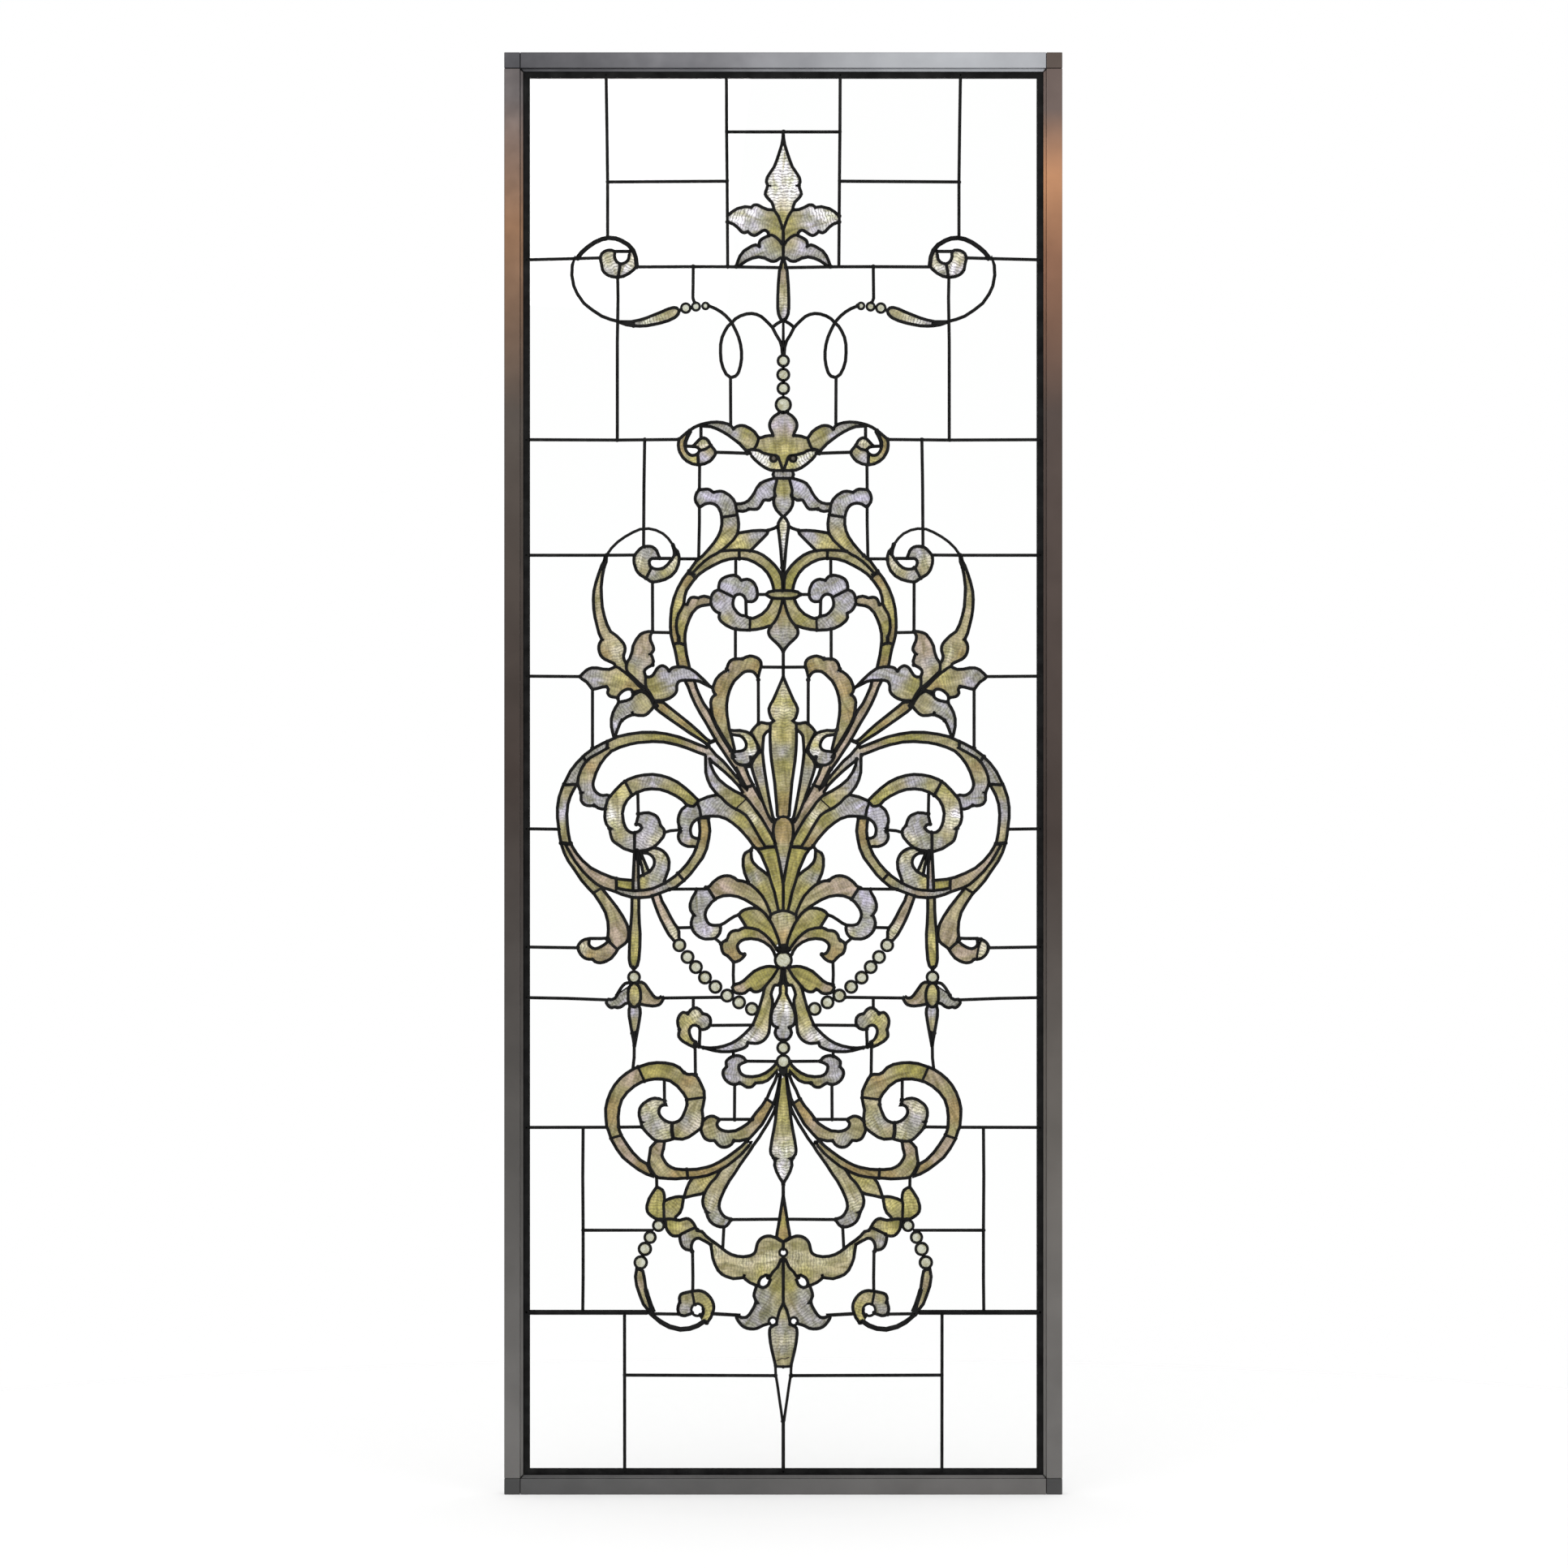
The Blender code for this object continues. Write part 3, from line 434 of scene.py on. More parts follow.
    "acanthus": """
-109.3,840 -102,843.6 -97.9,848.6 -90.7,854.3 -82,857.6 -73.6,857.4 -67.9,855 -63.6,851.4 / -56.4,850.4
  -50.7,848.6 -43.6,844.3 -36.4,837.9 -29.3,830 -23.6,820 -19.3,810 -17.2,804
-120.7,837.9 -122,834.3 -126.4,827 -129.3,818.6 -128.6,810 -124.3,803.3 / -126.4,798.6 -127.9,792.9
  -127,785.7 -123.6,779.3 -116.4,772.9 -107.9,770 -99.3,770.3 -93.6,772 -88.6,777.9 -87,785.7 -88,788.6
-124.3,803.3 -121,801.7
-30.7,810 -37,815 -45,820 -53.6,825 -63.6,829 -73.6,830.7 -83.6,830 -92,827 -99.3,821.4 -105.7,812.9
  -108.6,804.3 -107,797 -102.9,790.7 -95,788.9 -87.9,789.3 -82,792 -75,797 -67.9,801.4 -62,803.5
w5 -104.3,840 -95.7,826.4
-62,803.2 -59.3,807 -53.6,810.7 -46.4,812.6 -37.9,812.9 -30.7,810 -25,805 -19.3,797 -15,790 -10.7,780
  -6.4,768.6 -4.3,758.6
-61.4,802.5 -57.9,797 -54.3,791.4 -51.4,786
-51.4,785.8 -43.6,785 -35,782.9 -26.4,777 -17.9,768.6 -10.7,758.6 -7.9,754.3
-51.4,786.4 -57.9,784.3 -62,782 -67,781.7 -72,780 -75.7,775.7 -77,771.4 -79.3,767.9 / -82.9,766.4
  -85.7,762.9 -85.7,757 -82.9,750 -77.9,747 -74.3,743.6 -69.3,738.6 -65,738.6 -59.3,741.4 -54.3,746.4
  -53.6,748.6 / -59.3,750 -62.9,755.7 -63.6,761.4 -60,766.4 -53.6,769.7 -45,770.7 -35,769.3 -26.4,765.7
  -17.9,759.3 -13.6,752.9 -12,748.6
-17.2,803.8 -12,806.4 -6.4,808.6 0,809.4
-17.2,804 -18.5,798
w10 0,759 0,752
w10 0,730 0,727
w8 -9,752 -5,757
""",
    "tails and tassel": """
-250,837.9 -241.4,827 -231.4,814.3 -222.9,801.4 -217,790 -215,780 -215.7,770 -220,763.6 -227,758.6
  -230.5,755.7
w4 -263,834 -253.5,840 -250,839
-241.4,765.7 -230.7,755.7
-242.9,771.4 -252.9,770.7 -261.4,770.7 -268.6,770.7 -275.7,769.3 -281.4,765.7 -285,760 -284.3,754.3
  -280.7,747.9 -275.7,743.6 -270,742 -265,742 / -261.4,738.6 -254.3,737 -245.7,739.3 -238.6,743.6
  -232.9,750.7 -230,755.7
-269.3,770 -270,762.9 -267,758.6 -261.4,756.4 -254.3,758.6 -248.6,762 -244,766
w6 -245,770 -242,767
w4 -215,787 -214,767
-210,826 -210.3,808.6 -211.4,791.4 -212.9,777 -213.6,758.6 -214,742.9 -212,732.9 -208.6,729
-200.7,826 -200.7,808.6 -200,791.4 -198.9,777 -199.3,758.6 -200.7,741.4 -202.9,732.9 -206.4,729
w6 -207.3,730 -207.3,725
-207,709 -213,704.5 -215.5,696 -215.5,686 -212.5,678.5 -207,675.5 -201.5,678.5 -198.3,686 -198.3,696
  -201,704.5 -207,709
-212.5,678.5 -214.2,671.4 -214,663 -212,651.4 -210,640 -207.9,628.6 -206.7,620
-201.5,678.5 -199,672.9 -198.6,667 -200,657 -202,645.7 -203.6,637 -205.7,625.7 -206.7,620
w5 -206.8,640 -206.8,622
-209,709 -214,709.3 -220,707.9 -225.7,701.4 -230,694.3 -232.9,688.6 -238.6,685.7 -244.3,686.4 /
  -245.7,681.4 -242,676.4 -238.6,674.6 -234.3,675.7 -230,674.6 -224.3,676.4 -220,680 -215.7,681.4
-203,709.5 -197,710 -191.4,706.4 -187,700 -182.9,694.3 -178.6,689.3 -172.9,687.9 -168.6,690.7 / -166.5,687
  -169.3,682 -172.9,678.6 -181.4,677 -190,677.9 -197,679.3
w2 -231,692 -222,699 -216,703
-182,828.6 -178.6,818.6 -174.3,807 -170,797 -164.3,785.7 -158.6,775.7 -152,768
-172,832.9 -168.6,822.9 -162.9,812.9 -157,801.4 -151.4,791.4 -147,785.7 -145,780 -145,772.5
""",
    "under the jewel": """
-10,731 -17.9,732 -23.6,731.7 -32,729.3 -40.7,725 -47.9,718.6 -55,712 -60.7,708.6 -68.5,706.5
-68.5,706 -70.7,702.9 -67.9,696.4 -60.7,694.3 -53.6,695 -49.3,698.6 -45.7,700.3 / -41.4,697 -35,697
  -29.3,700 -25,704.3 -19.3,711.4 -14.5,717 -10.7,722.9 -7.9,728
-25.7,703 -27.9,692.9 -30.7,682.9 -33.6,672.9 -37.9,661.4 -41.4,652.9 -46.4,645.7 -55,637 -63.6,630
  -72,625 -82,621.4 -92,619.3 -102,618.6 -110.7,619.3 -117,620.5
-4,706 -8,706 -12,705.7 -15,700 -17,692.9 -15,685.7 -15,680 -16.4,671.4 -17.9,662.9 -18.6,651.4 -20,640
  -25,631.4 -32,626.4 -39.3,625 -46.4,625.7 -49.3,626.4 / -50.7,621.4 -56.4,617.9 -65,615 -75,613.6
  -86.4,613.6 -96.4,615 -105,617.4 -111,619
-2,728 -2,724.3 -2.9,717 -4.3,710 -7.5,706
0,710.7 -3.6,705.7 -4.3,698.6 -4,694.3 -6.4,688.6 -10.7,680 -15,671.4 -16.7,662.9 -16.4,655.7 -13.6,650
  -9.3,647.5 / -11.4,640 -9.3,634.3 -5,630 0,629.3
-9.3,647 -6,646.8
0,728 0,711
w8 0,629 0,626
w8 0,611 0,608
w14 0,592 0,586
-51.4,600.3 -55,605 -62,607.9 -69.3,607.4 -75,604.3 -79.3,599.3 -78.6,592.9 / -82.9,587.9 -83.6,581.4
  -80,574.3 -73.6,569.3 -66.4,567.9 -60.7,570 / -56.4,567.9 -50.7,564.3 -43.6,565 -38.6,570 / -29.3,570.7
  -22,573.6 -15,580 -9.3,587
-50.7,600 -56.4,597.9 -61.4,594.3 -61.4,588.6 -58.6,582.9 -52,579.3 -43.6,578.6 -33.6,580 -25,583.6
  -17.9,588.6 -12,594.3 -9,599
-125,674 -129.3,670.7 -132.9,666.4 / -139.3,667.9 -144.3,663.6 -146.7,656.4 -145.7,648.6 -144,644.3 /
  -145,640 -145,634.3 -139.3,627.9 -130.7,622.9 -123.6,620
-125,674 -120.7,674.3 -115.7,671.4 -112,666.4 / -106.4,665 -102,660.7 -101,655 -102,650 -106.4,645.7
  -112,644.3 -115.7,645
w4.5 -115.7,645 -117.9,648.6 -123.6,650.4 -127.9,648.6 -130.7,642.9 -129.3,635.7 -125.7,629.3 -121.4,627
-115.7,645 -116,634.3 -116.4,627 -116.4,620
w8 -122,624 -118,622
""",
    "lower scroll": """
-209.3,589.3 -197,593.6 -187,596.9 -175.7,598.3 -164.3,597.9 -152.9,595.7 -144.3,591.4 -138,584.5 /
  -132.9,582 -123.6,581.7 -117.9,575.7 -113.6,567 -110,558.6 -109.6,548.6 -111.4,538.6 -112.9,532.9 /
  -111.9,524.3 -112,517
-209.3,588.8 -218.6,582.9 -227,575.7 -234.3,567 -240,557 -244.3,545.7 -246.7,534.3 -246.4,522.9 -245,508.6
  -242.9,504.3 -238.6,491.4 -231.4,478.6 -222.9,467 -212.9,458.6 -201.4,450 -190,443.6 -178.6,439.7
-133.6,540 -134.3,548.6 -138.6,555.7 -147,565.7 -157,572.9 -167,575.4 -178.6,575.7 -187,574.3 -197,571.4
  -207,565.7 -217,557 -224.3,547 -227.9,535.7 -229.3,522.9 -228.9,511.4 -227.9,504.3 -224.3,495.7
  -217,484.3 -208.6,472.9 -198.6,462.9 -191.4,458.6 -187,457
-133.6,540 -135.7,532.9 -140,522.9 -145.7,517 -154.3,514.7 -162.9,517 -170,522.9 -172.9,530 -170.7,537
  -165.7,539.7 -162.9,539.3
-164,546 -171.4,547.9 -178.6,548.9 -187,546.4 -194.3,541.4 -199.3,534.3 -200,524.3 -197.9,517 / -196.4,510
  -193.6,505.7 -188.6,500 -181.4,492.9 -174.3,489.3 -165.7,489.3 -158.6,490.7 -151.4,492.9 -140,492
  -131.4,495 -122.9,500.7 -115.7,506.4 -112.5,512 -112,517
w5 -165.5,546 -164,541
-197.9,516.5 -194.3,515.7
w4 -200.7,590 -194.3,575.7
w4 -235.7,494.3 -227,497
w4 -133.6,547 -111,550
w6 -154.3,514.3 -154.8,503 -152.9,493
w6 -189,458 -183.5,447
-176,489 -180,485 -184.3,480 -185.4,471.4 -187,461.4 -185.7,454.3 -182,447 -177.9,441.4
-165,489 -166.4,478.6 -168.6,470 -165.7,462.9 -160,455.7 -150,450.7 -140,449.7 -130,449.7 -120,450.2
  -106.4,452.9 -97.9,455.7 -89.3,460 -77.9,467 -67.9,474.3 -57.9,482 -49.3,490.7 -40.7,500 -29.3,512.9
  -22,525.7 -15,538.6 -10.7,548.6 -7.9,560 -5.7,571.4 -4.3,580
-177.9,440 -172,438.3 -160.7,437.4 -149.3,436.9 -137.9,437.9 -126.4,438.3 -115,439.7 -105,441.7 -95,445.7
  -86.4,450 -77.9,455 -67.9,462.9 -57.9,471.4 -47.9,482.9 -45,488.6
-133.6,448.6 -132.9,440
w6 -50.7,489.3 -43.6,486.4
-11,534.5 -15,525.7 -22,512.9 -29.3,501.4 -33.6,494.3 -42,482.9 -46.4,475.7 -53.6,465.7 -60.7,455.7
  -67.9,444.3 -75,434.3 -82,421.4 -87,410 -89.3,398.6 -86.4,390 -80.7,383.6 -73,380.7
w4 -11,534.5 -9,548 -6.5,565 -4,580
-86.4,450 -93.6,438.6 -100.7,431.4 -106.4,422.9 -110,415.7 -111.9,407 -110.7,398.6 -107,391.4 / -105,384.3
  -102,378.6 -96.4,373.6 -87.9,370.3 -80.7,370.7 -76.4,374.3 -73,379.5
-107,391.4 -102.9,390
-43.6,520.7 -37.9,528.6 -29.3,538.6 -22,550 -17.9,560 -12,571.4 -8.6,580.7
w4 -22,547 -16,543
-112,516 -114.3,505.7 -112,498.6 -108.6,492.9 -102,490 -95.7,490.3 / -90.7,484.3 -85,481 -77.9,481.4
  -72,485 -68.6,490 / -60.7,489.7 -53.6,491.4 -48.5,492.5
-112,516 -107.9,520.7 -102,523.6 -96.4,523.6 -89.5,520
-89.3,517.9 -92,514.3 -90.7,508.6 -85,504.3 -76.4,502.6 -66.4,503.6 -57.9,507.9 -49.3,513.6 -43.6,519.5
-126.4,437.5 -130.7,431.4 -134.3,422.9 -137,414.3 -138.6,411
-138,411 -135,411.4 -126.4,413.6 -115,415.7 -110,417.9
-3.6,582.9 -5,568.6 -6.4,554.3 -8.6,540 -9.3,534.3 -10.6,520 -12.9,505.7 -15.7,491.4 -17.6,478.6 -17,471.4
  -13.6,466.4 / -11.4,461.4 -12,455.7 -9.3,447 -5,438.6 -1.4,432.9 0,428.6
-12,465.5 -7.9,465
w5 0,430 0,412
0,414 -2,401.4 -4.3,387 -6.4,372.9 -8.6,361.4 -9.3,355.7 / 0,349.5
""",
    "olive leaves": """
-175.7,425.7 -180.7,418.6 -186.4,409.3 -189.3,400 -188.6,391.4 -183.6,385.7 -177.9,382 -172,380.7
w4.5 -175.7,425.7 -167.9,421.4 -165.3,414.3 -165,407 -166.4,401.4 -165.7,391.4 -165.7,382.9
-165,406 -157.9,409.3 -149.3,411.7 -140.7,412 -138.6,410.7 / -139.3,405.7 -140.7,397 -143.6,390
  -149.3,384.3 -150.7,380.7
w5 -172,381 -165,380.7 -157.9,381.4 -150.7,380.5
-150.7,380 -143.6,379.3 -135,381.7 -129.3,380 -124.3,374.3 -121.4,368.6 -119.3,365.7
-165,381 -163.6,377 -162.9,370 -159.3,362.9 -153.6,358 -145,358 -142,360 -135,363.6 -129.3,366.4
  -123.6,368.6
-142,360 -143.6,357 -142.9,350 -140,342.9 -135,338.9 -129.3,337.9 -126.4,335.7
-127,338 -127.9,341.4 -126.4,348.6 -122,353.6 -116.4,354.3 -109.3,350.7 -100.7,345.7
-119.3,365 -112.9,363.6 -107.9,357.9 -102,352.9 -93.6,347 -86.4,341.4
""",
    "palmette": """
-86.4,341.4 -79.3,335.7 -72,331.7 -63.6,329.3 -55,328.6 -46.4,330 -40,333.6 -37.9,338.6 -36.4,345.7
  -32.9,352 -26.4,356.4 -17.9,357.4 -10.7,355 -5,351.4 0,349.3
-100.7,345.7 -99.3,337 -97.9,327 -95,318.6 -90.7,310 -85,304.3 -79.3,301.4 -69.3,298.3 -59.3,299.3 -55,300
  / -52,297 -46.4,292.9 -37.5,289
-55,299.5 -53.6,304.5
-0.7,327 -3.6,324.3 -7.9,314.3 -15,307 -17.9,302
w5 0,349.5 0,340
w4 0,329 0,322
0,323 0,263
-23.6,303.6 -17.9,297 -20.7,290 -27.9,285.7 -33.6,287.9 -34.3,292.9 -30.7,300 -23.6,303.6
-37,288 -39.3,281.4 -40.7,274.3 -37.9,267 / -40,260 -45,251.4 -50.7,245 -57.9,244.3 -64,247 / -65,244.3
  -60.7,237 -55,231.4 -46.4,228.6 -36.4,229.3 -27.9,233.6 -20.7,235.7
-37.9,267 -34.3,264
0,264 -5,254.3 -7.9,244.3 -9.5,235 / -17.9,230 -19,220 -17.9,210 -15.7,198.6 -12.9,187 -10.6,177
w4 -10.6,176.5 0,176
w4 -11,177 -10.5,165 -8,150 -5.5,132 -3,115 -1,100
w5 0,103 0,70 0,35
""",
    "bottom volute": """
-198,311 -203.6,311.4 -205.3,301.4 -203.6,288.6 -199.3,275.7 -194.3,262.9 -187,254
-195,308.6 -192.9,298.6 -191.4,287 -188.6,275.7 -184.3,264.3 -180,254.3
w7 -191,283 -188.8,275 -185.2,264 -182,251.5
w7 -183.5,249 -170,238 -158,231.5 -143,227.8 -130,229 -119,233 -110,239
-127.5,280.5 -136.4,278.6 -142,276.4 -144.3,270.7 -143.6,265 / -145,262.9 -146.4,255.7 -143.6,248.6
  -136.4,246.9 -129.3,249.3
-127,280.7 -117.9,281.7 -109.3,279.3 -101.4,272 -97,262.9 -97,254.3 -100.7,244.3 -106,237
w4 -126.4,279 -123.6,264
-111,256 -111,250 -113.5,244
""",
}

# Came lines of the right half alone, where a piece has broken and was leaded again.
REPAIRS = """
w3.5 269,745 271,757 274.5,768
"""

# Round jewels of the left half and the middle: x, z and the radius of the came's centre line.
JEWELS = """
-135.5,1646.3,6.2 -121.3,1648.4,5.2 -108,1649.3,4.2
0,1573,7.5 0,1553.7,8 0,1534.7,7.7 0,1512,10.3
0,740.7,11.5 -207.3,717,7.8
-144.3,761.4,8 -133,745,8 -121.4,731,8 -108.8,716.4,8 -94.3,703.6,8 -77.9,691.4,8 -61.4,682,8 -43.6,672.9,8
0,618.9,8 0,599.7,8.8
-173.3,372.1,7.3 -185,355.7,7.5 -192.2,339.6,8.3 -198,320.7,8.3
"""

# Dark jewels, in the same form.
DARK_JEWELS = """
-13.6,1437.5,4.7
"""

# Small round panes of plain clear glass, in the same form.
EYES = """
0,334.6,5.3 -14.6,239,5.5 -119.3,255,8.5
"""

# Cracks in the glass, each a line of points across one pane.
CRACKS = """
-9.3,184.3 -2,187.5 3,186.8 7.9,189.3
"""

# Ornament panes of the left half and the middle: a point in the pane and the tint of the glass there. A cell
# without one is clear glass.
TINTS = """
white 0,1860 0,1835 -15,1822 -12,1805 0,1812
cream 0,1792
straw 0,1775
white -60,1772 -45,1778
lilac -45,1763 -32,1775
khaki -22,1775
olive -10,1768 -12,1752
grey -52,1722
lilac -28,1730
khaki -10,1735
grey -15,1717
khaki 0,1707
pink 0,1695
khaki 0,1670
cream 0,1655
grey 0,1640
lilac 0,1488 -10,1480
pink 8,1478
khaki -22,1462 -30,1465
olive 0,1462 0,1440 -12,1452
straw -3,1452
white -32,1439 -24,1436
straw -12,1429
grey 0,1415
olive 0,1392
lilac 0,1374
grey 0,1362
cream 0,1343
white 0,1325
grey 0,1305
grey -98,1484 -80,1478
lilac -67,1470
olive -55,1470 -50,1478
khaki -45,1462
ochre -141,1450
khaki -134,1439
straw -125,1433
lilac -110,1438
khaki -104,1448
cream -112,1460
lilac -20,1398 -36,1385
grey -45,1373
grey -56,1368
lilac -108,1385 -90,1382
grey -78,1366
grey -75,1350
khaki -74,1336
straw -84,1324
khaki -100,1305
straw -66,1322 -56,1318
khaki -52,1330
lilac -42,1328 -34,1333
khaki -75,1304 -100,1295
khaki -50,1302 -20,1275
olive -28,1288 -12,1262
ochre -134,1266
khaki -141,1250
straw -146,1235
olive -151,1215
ochre -152,1200
pink -115,1242 -128,1236
khaki -138,1222
olive -144,1205
olive -144,1168
ochre -142,1155
lilac -75,1265 -52,1262 -42,1250
lilac -88,1240 -84,1228
khaki -80,1215
grey -62,1209
khaki -38,1212 -14,1228
olive -25,1214
khaki 0,1250 -15,1250
ochre 0,1226
khaki 0,1212
grey 0,1196 0,1182
cream 0,1116 8,1088
straw -10,1098 0,1068
olive 0,1050 0,1012
grey 0,1030
khaki 0,990
ochre 0,960
khaki -240,1180 -243,1202
cream -232,1170
ochre -246,1166
grey -250,1232 -252,1255
pink -196,1186 -200,1168
grey -205,1156
khaki -210,1144
grey -266,1138
lilac -260,1128
khaki -242,1136 -240,1118
straw -222,1130
ochre -214,1122
lilac -165,1138 -150,1128 -135,1140
olive -178,1116 -184,1130
khaki -170,1105
grey -114,1129
lilac -216,1098 -234,1062
grey -224,1086
khaki -200,1100 -194,1090
khaki -48,1157
ochre -40,1150 -90,1112 -94,1085
pink -72,1150 -86,1136
khaki -88,1098 -82,1060
ochre -165,1091 -140,1071
khaki -152,1081
olive -120,1056
pink -128,1115 -112,1082 -95,1052 -80,1036
khaki -222,1048 -196,1055
olive -172,1053 -148,1046
pink -125,1037
grey -262,1032
grey -292,1005
khaki -262,1022 -273,995
ochre -268,1010
grey -272,980
lilac -266,966 -250,960
straw -232,972
khaki -232,958 -226,915
white -240,944
cream -236,930
grey -215,905
khaki -205,985 -162,982
grey -190,990
lilac -180,989
straw -142,970
olive -132,962
lilac -190,934 -184,920
grey -196,904
cream -178,908
lilac -125,945 -136,928 -132,914
khaki -127,904
ochre -112,926 -110,910
khaki -118,890 -130,872
lilac -105,955
grey -86,955
khaki -66,948
olive -54,938
khaki -44,918
ochre -38,905
lilac -104,1004 -96,985
khaki -80,970
olive -66,960
cream -46,940
olive -32,915
khaki -55,952
olive -98,1034 -86,1016
khaki -72,998
pink -100,1018 -72,996
lilac -86,1005
pink -60,1000 -48,976 -34,950 -24,930
khaki -36,1020 -28,970
grey -32,1000
straw -44,1040
white -42,1028
cream -50,1050
lilac -60,1025
grey -55,1018
khaki -35,1063 -43,1055
ochre 0,925 0,912
khaki 0,895
grey 0,875
olive -22,888 -18,868
ochre -13,842
khaki -52,880
grey -44,856
olive -48,868 -30,838
olive -18,812
pink -88,845 -74,854 -56,846
khaki -40,832 -28,814
lilac -114,830 -118,800 -104,780
grey -122,815
cream -95,775
olive -50,800 -26,782
khaki -40,805
olive -18,770
khaki -70,776 -80,765
ochre -72,750
olive -48,779
pink -24,768
cream 0,800
khaki -8,794
ochre 0,776
olive -25,722 -36,716 -46,708
pink -60,702
khaki -15,716 -22,700
khaki -28,682
olive -31,668
straw -35,652
grey -40,645 -60,628
white -50,634
lilac -70,622
straw 0,700 0,690
white -5,674
lilac 0,660 0,640
cream -122,668
grey -110,655
straw -130,655
khaki -142,642
straw -134,630
khaki -207,815 -207,792
straw -207,765
olive -207,745
khaki -255,830 -241,800
ochre -250,816
pink -235,785 -230,770
cream -279,757
ochre -268,749
pink -250,747 -240,755
pink -280,868 -250,852
khaki -290,868 -268,848
olive -222,847
lilac -204.5,846
pink -205,856
grey -194.5,872
cream -192,866
straw -195,849
grey -182,848
lilac -168,865
cream -170,886
grey -215,835 -165,840
pink -190,832
khaki -148,850
pink -175,826 -166,802
cream -155,780
khaki -216,702 -196,700
grey -230,684
pink -186,688 -176,684
straw -207,698
khaki -207,687
lilac -207,668
khaki -207,655
pink -214,579
khaki -235,560 -238,505
ochre -241,540 -241,520
olive -185,586 -165,590
khaki -146,584 -122,562
ochre -132,574
pink -222,480 -210,465
ochre -198,455
khaki -125,536 -146,500
grey -136,520
cream -120,520
cream -186,535 -165,500
grey -184,522
grey -176,508
pink -176,480
khaki -180,460 -165,448
ochre -150,443
ochre -118,445 -94,452
khaki -70,465
khaki -102,514 -104,500
grey -86,490
khaki -60,500
pink -40,505
ochre -30,525 -20,540
cream -60,470
khaki -122,425
straw -112,434
khaki -95,425
cream -100,402
lilac -96,382 -86,376
khaki -14,565
ochre -12,575
ochre -25,530
khaki -45,495
olive 0,580 0,560 -3,545
straw 0,540 0,520
khaki -5,503
cream 0,488
white 0,474 0,450
grey 0,462
lilac -75,595 -78,580
grey -65,572
khaki -48,568
olive -30,577 -15,588
straw -175,410 -180,396
olive -175,388
straw -155,400
khaki -160,390
olive -158,372
straw -146,372
khaki -132,372
grey -136,350
khaki -120,362 -108,352
khaki -85,325 -50,315 -28,340 -70,312
khaki -15,345
cream -50,320 -20,330
cream -90,335
straw -32,306
khaki -45,300
lilac -10,312
olive -10,286
khaki -6,270
grey -26,275 -32,258
grey -46,240 -30,234
khaki 0,250
grey 0,228
cream 0,212
grey 0,200
khaki -4,186
ochre 0,392 0,362
olive 0,376
khaki -199,306
pink -198,290
khaki -195.5,277
khaki -135,270
grey -135,258
khaki -114,275
straw -104,258
straw -106,246
cream -243,1712 -212,1711
white -238,1702 -217,1702
grey -241,1697 -224,1694
grey -200,1627
white -190,1629
cream -174,1635
khaki -160,1640
grey -194,1311 -178,1275
lilac -189,1304
cream -199,1293 -156,1290
khaki -194,1284 -166,1279 -150,1303
grey -287,1004
khaki -301,974 -303,915 -295,888
lilac -305,950
pink -277,873
"""

# Width of the border came's face beyond the rails' lips.
BORDER_CAME = 9 * MM
# Points that lie this close are one point when the plane is divided, in metres.
TOUCHING = 1e-7
# An opening in the net that is smaller than this is lead all over.
LEAST_CELL = 12 * MM * MM
# Spacing of the points that stand for a came when the nearest one is looked for, and how far a came's end is
# carried on to reach another came.
SAMPLE, MEETING = 1 * MM, 9 * MM
# How far the outline of an opening or of a pane may move when its spare points are dropped.
OPENING_SLACK, PANE_SLACK = 0.1 * MM, 0.12 * MM
# How many sides a round came has, in the net and where it cuts the glass.
RING_SIDES, CUT_SIDES = 24, 16
# The most straight pieces between two points of a drawn curve.
MOST_STEPS = 5
# Two directions whose sum is shorter than this make a hairpin, and a mitre is never drawn out by more than
# half the came's width divided by the second number.
HAIRPIN, LEAST_MITRE = 0.3, 0.6
# The came's section is an octagon this much wider across its corners than across its flats.
SECTION_RADIUS = 1.082
# Ends and corners of cames that lie this close share one soldered joint.
JOINT_REACH = 4 * MM
# The ripples of the ornament glass: their length, how far they wander, and how often they do so in a metre.
RIPPLE_STEP, RIPPLE_WANDER, WANDERS = 8.5 * MM, 6 * MM, 60
# Height of a triangle with sides of 1, for the rows of a pane's grid.
ROW_STEP = 0.866
# Spacing of the points on a pane's outline that its long axis is read from.
AXIS_STEP = 4 * MM
# How close to a tint point the glass has that point's colour alone.
TINT_REACH = 4 * MM
# What is left of the tint at a pane's rim.
RIM_SHADE = 0.45
# Width of a crack, and how deep the dark line is that shows it on both faces.
HAIRLINE, CRACK_DEPTH = 1.6 * MM, GLASS_DEPTH + 8 * CLEARANCE
# How strongly the painted highlights and shade of the glass's ribs show in each tint, and in any other.
PAINTED_RIB_LIGHT = {"white": 1, "cream": 0.75, "grey": 0.6, "lilac": 0.5, "straw": 0.5}
FAINT_PAINTED_RIB_LIGHT = 0.28

FLOOR_RADIUS = 3.0
CAMERA_DISTANCE, CAMERA_HEIGHT, VIEW_WIDTH = 8, 0.9853, 2.178
# Name, place, width, height, watts and colour.
LIGHTS = (
    ("soft_key", (-0.9, -3.6, 2.8), 1.8, 1.8, 25, (1, 0.98, 0.95)),
    ("soft_fill", (1.4, -3.0, 1.4), 1.2, 1.8, 10, (0.95, 0.97, 1)),
)


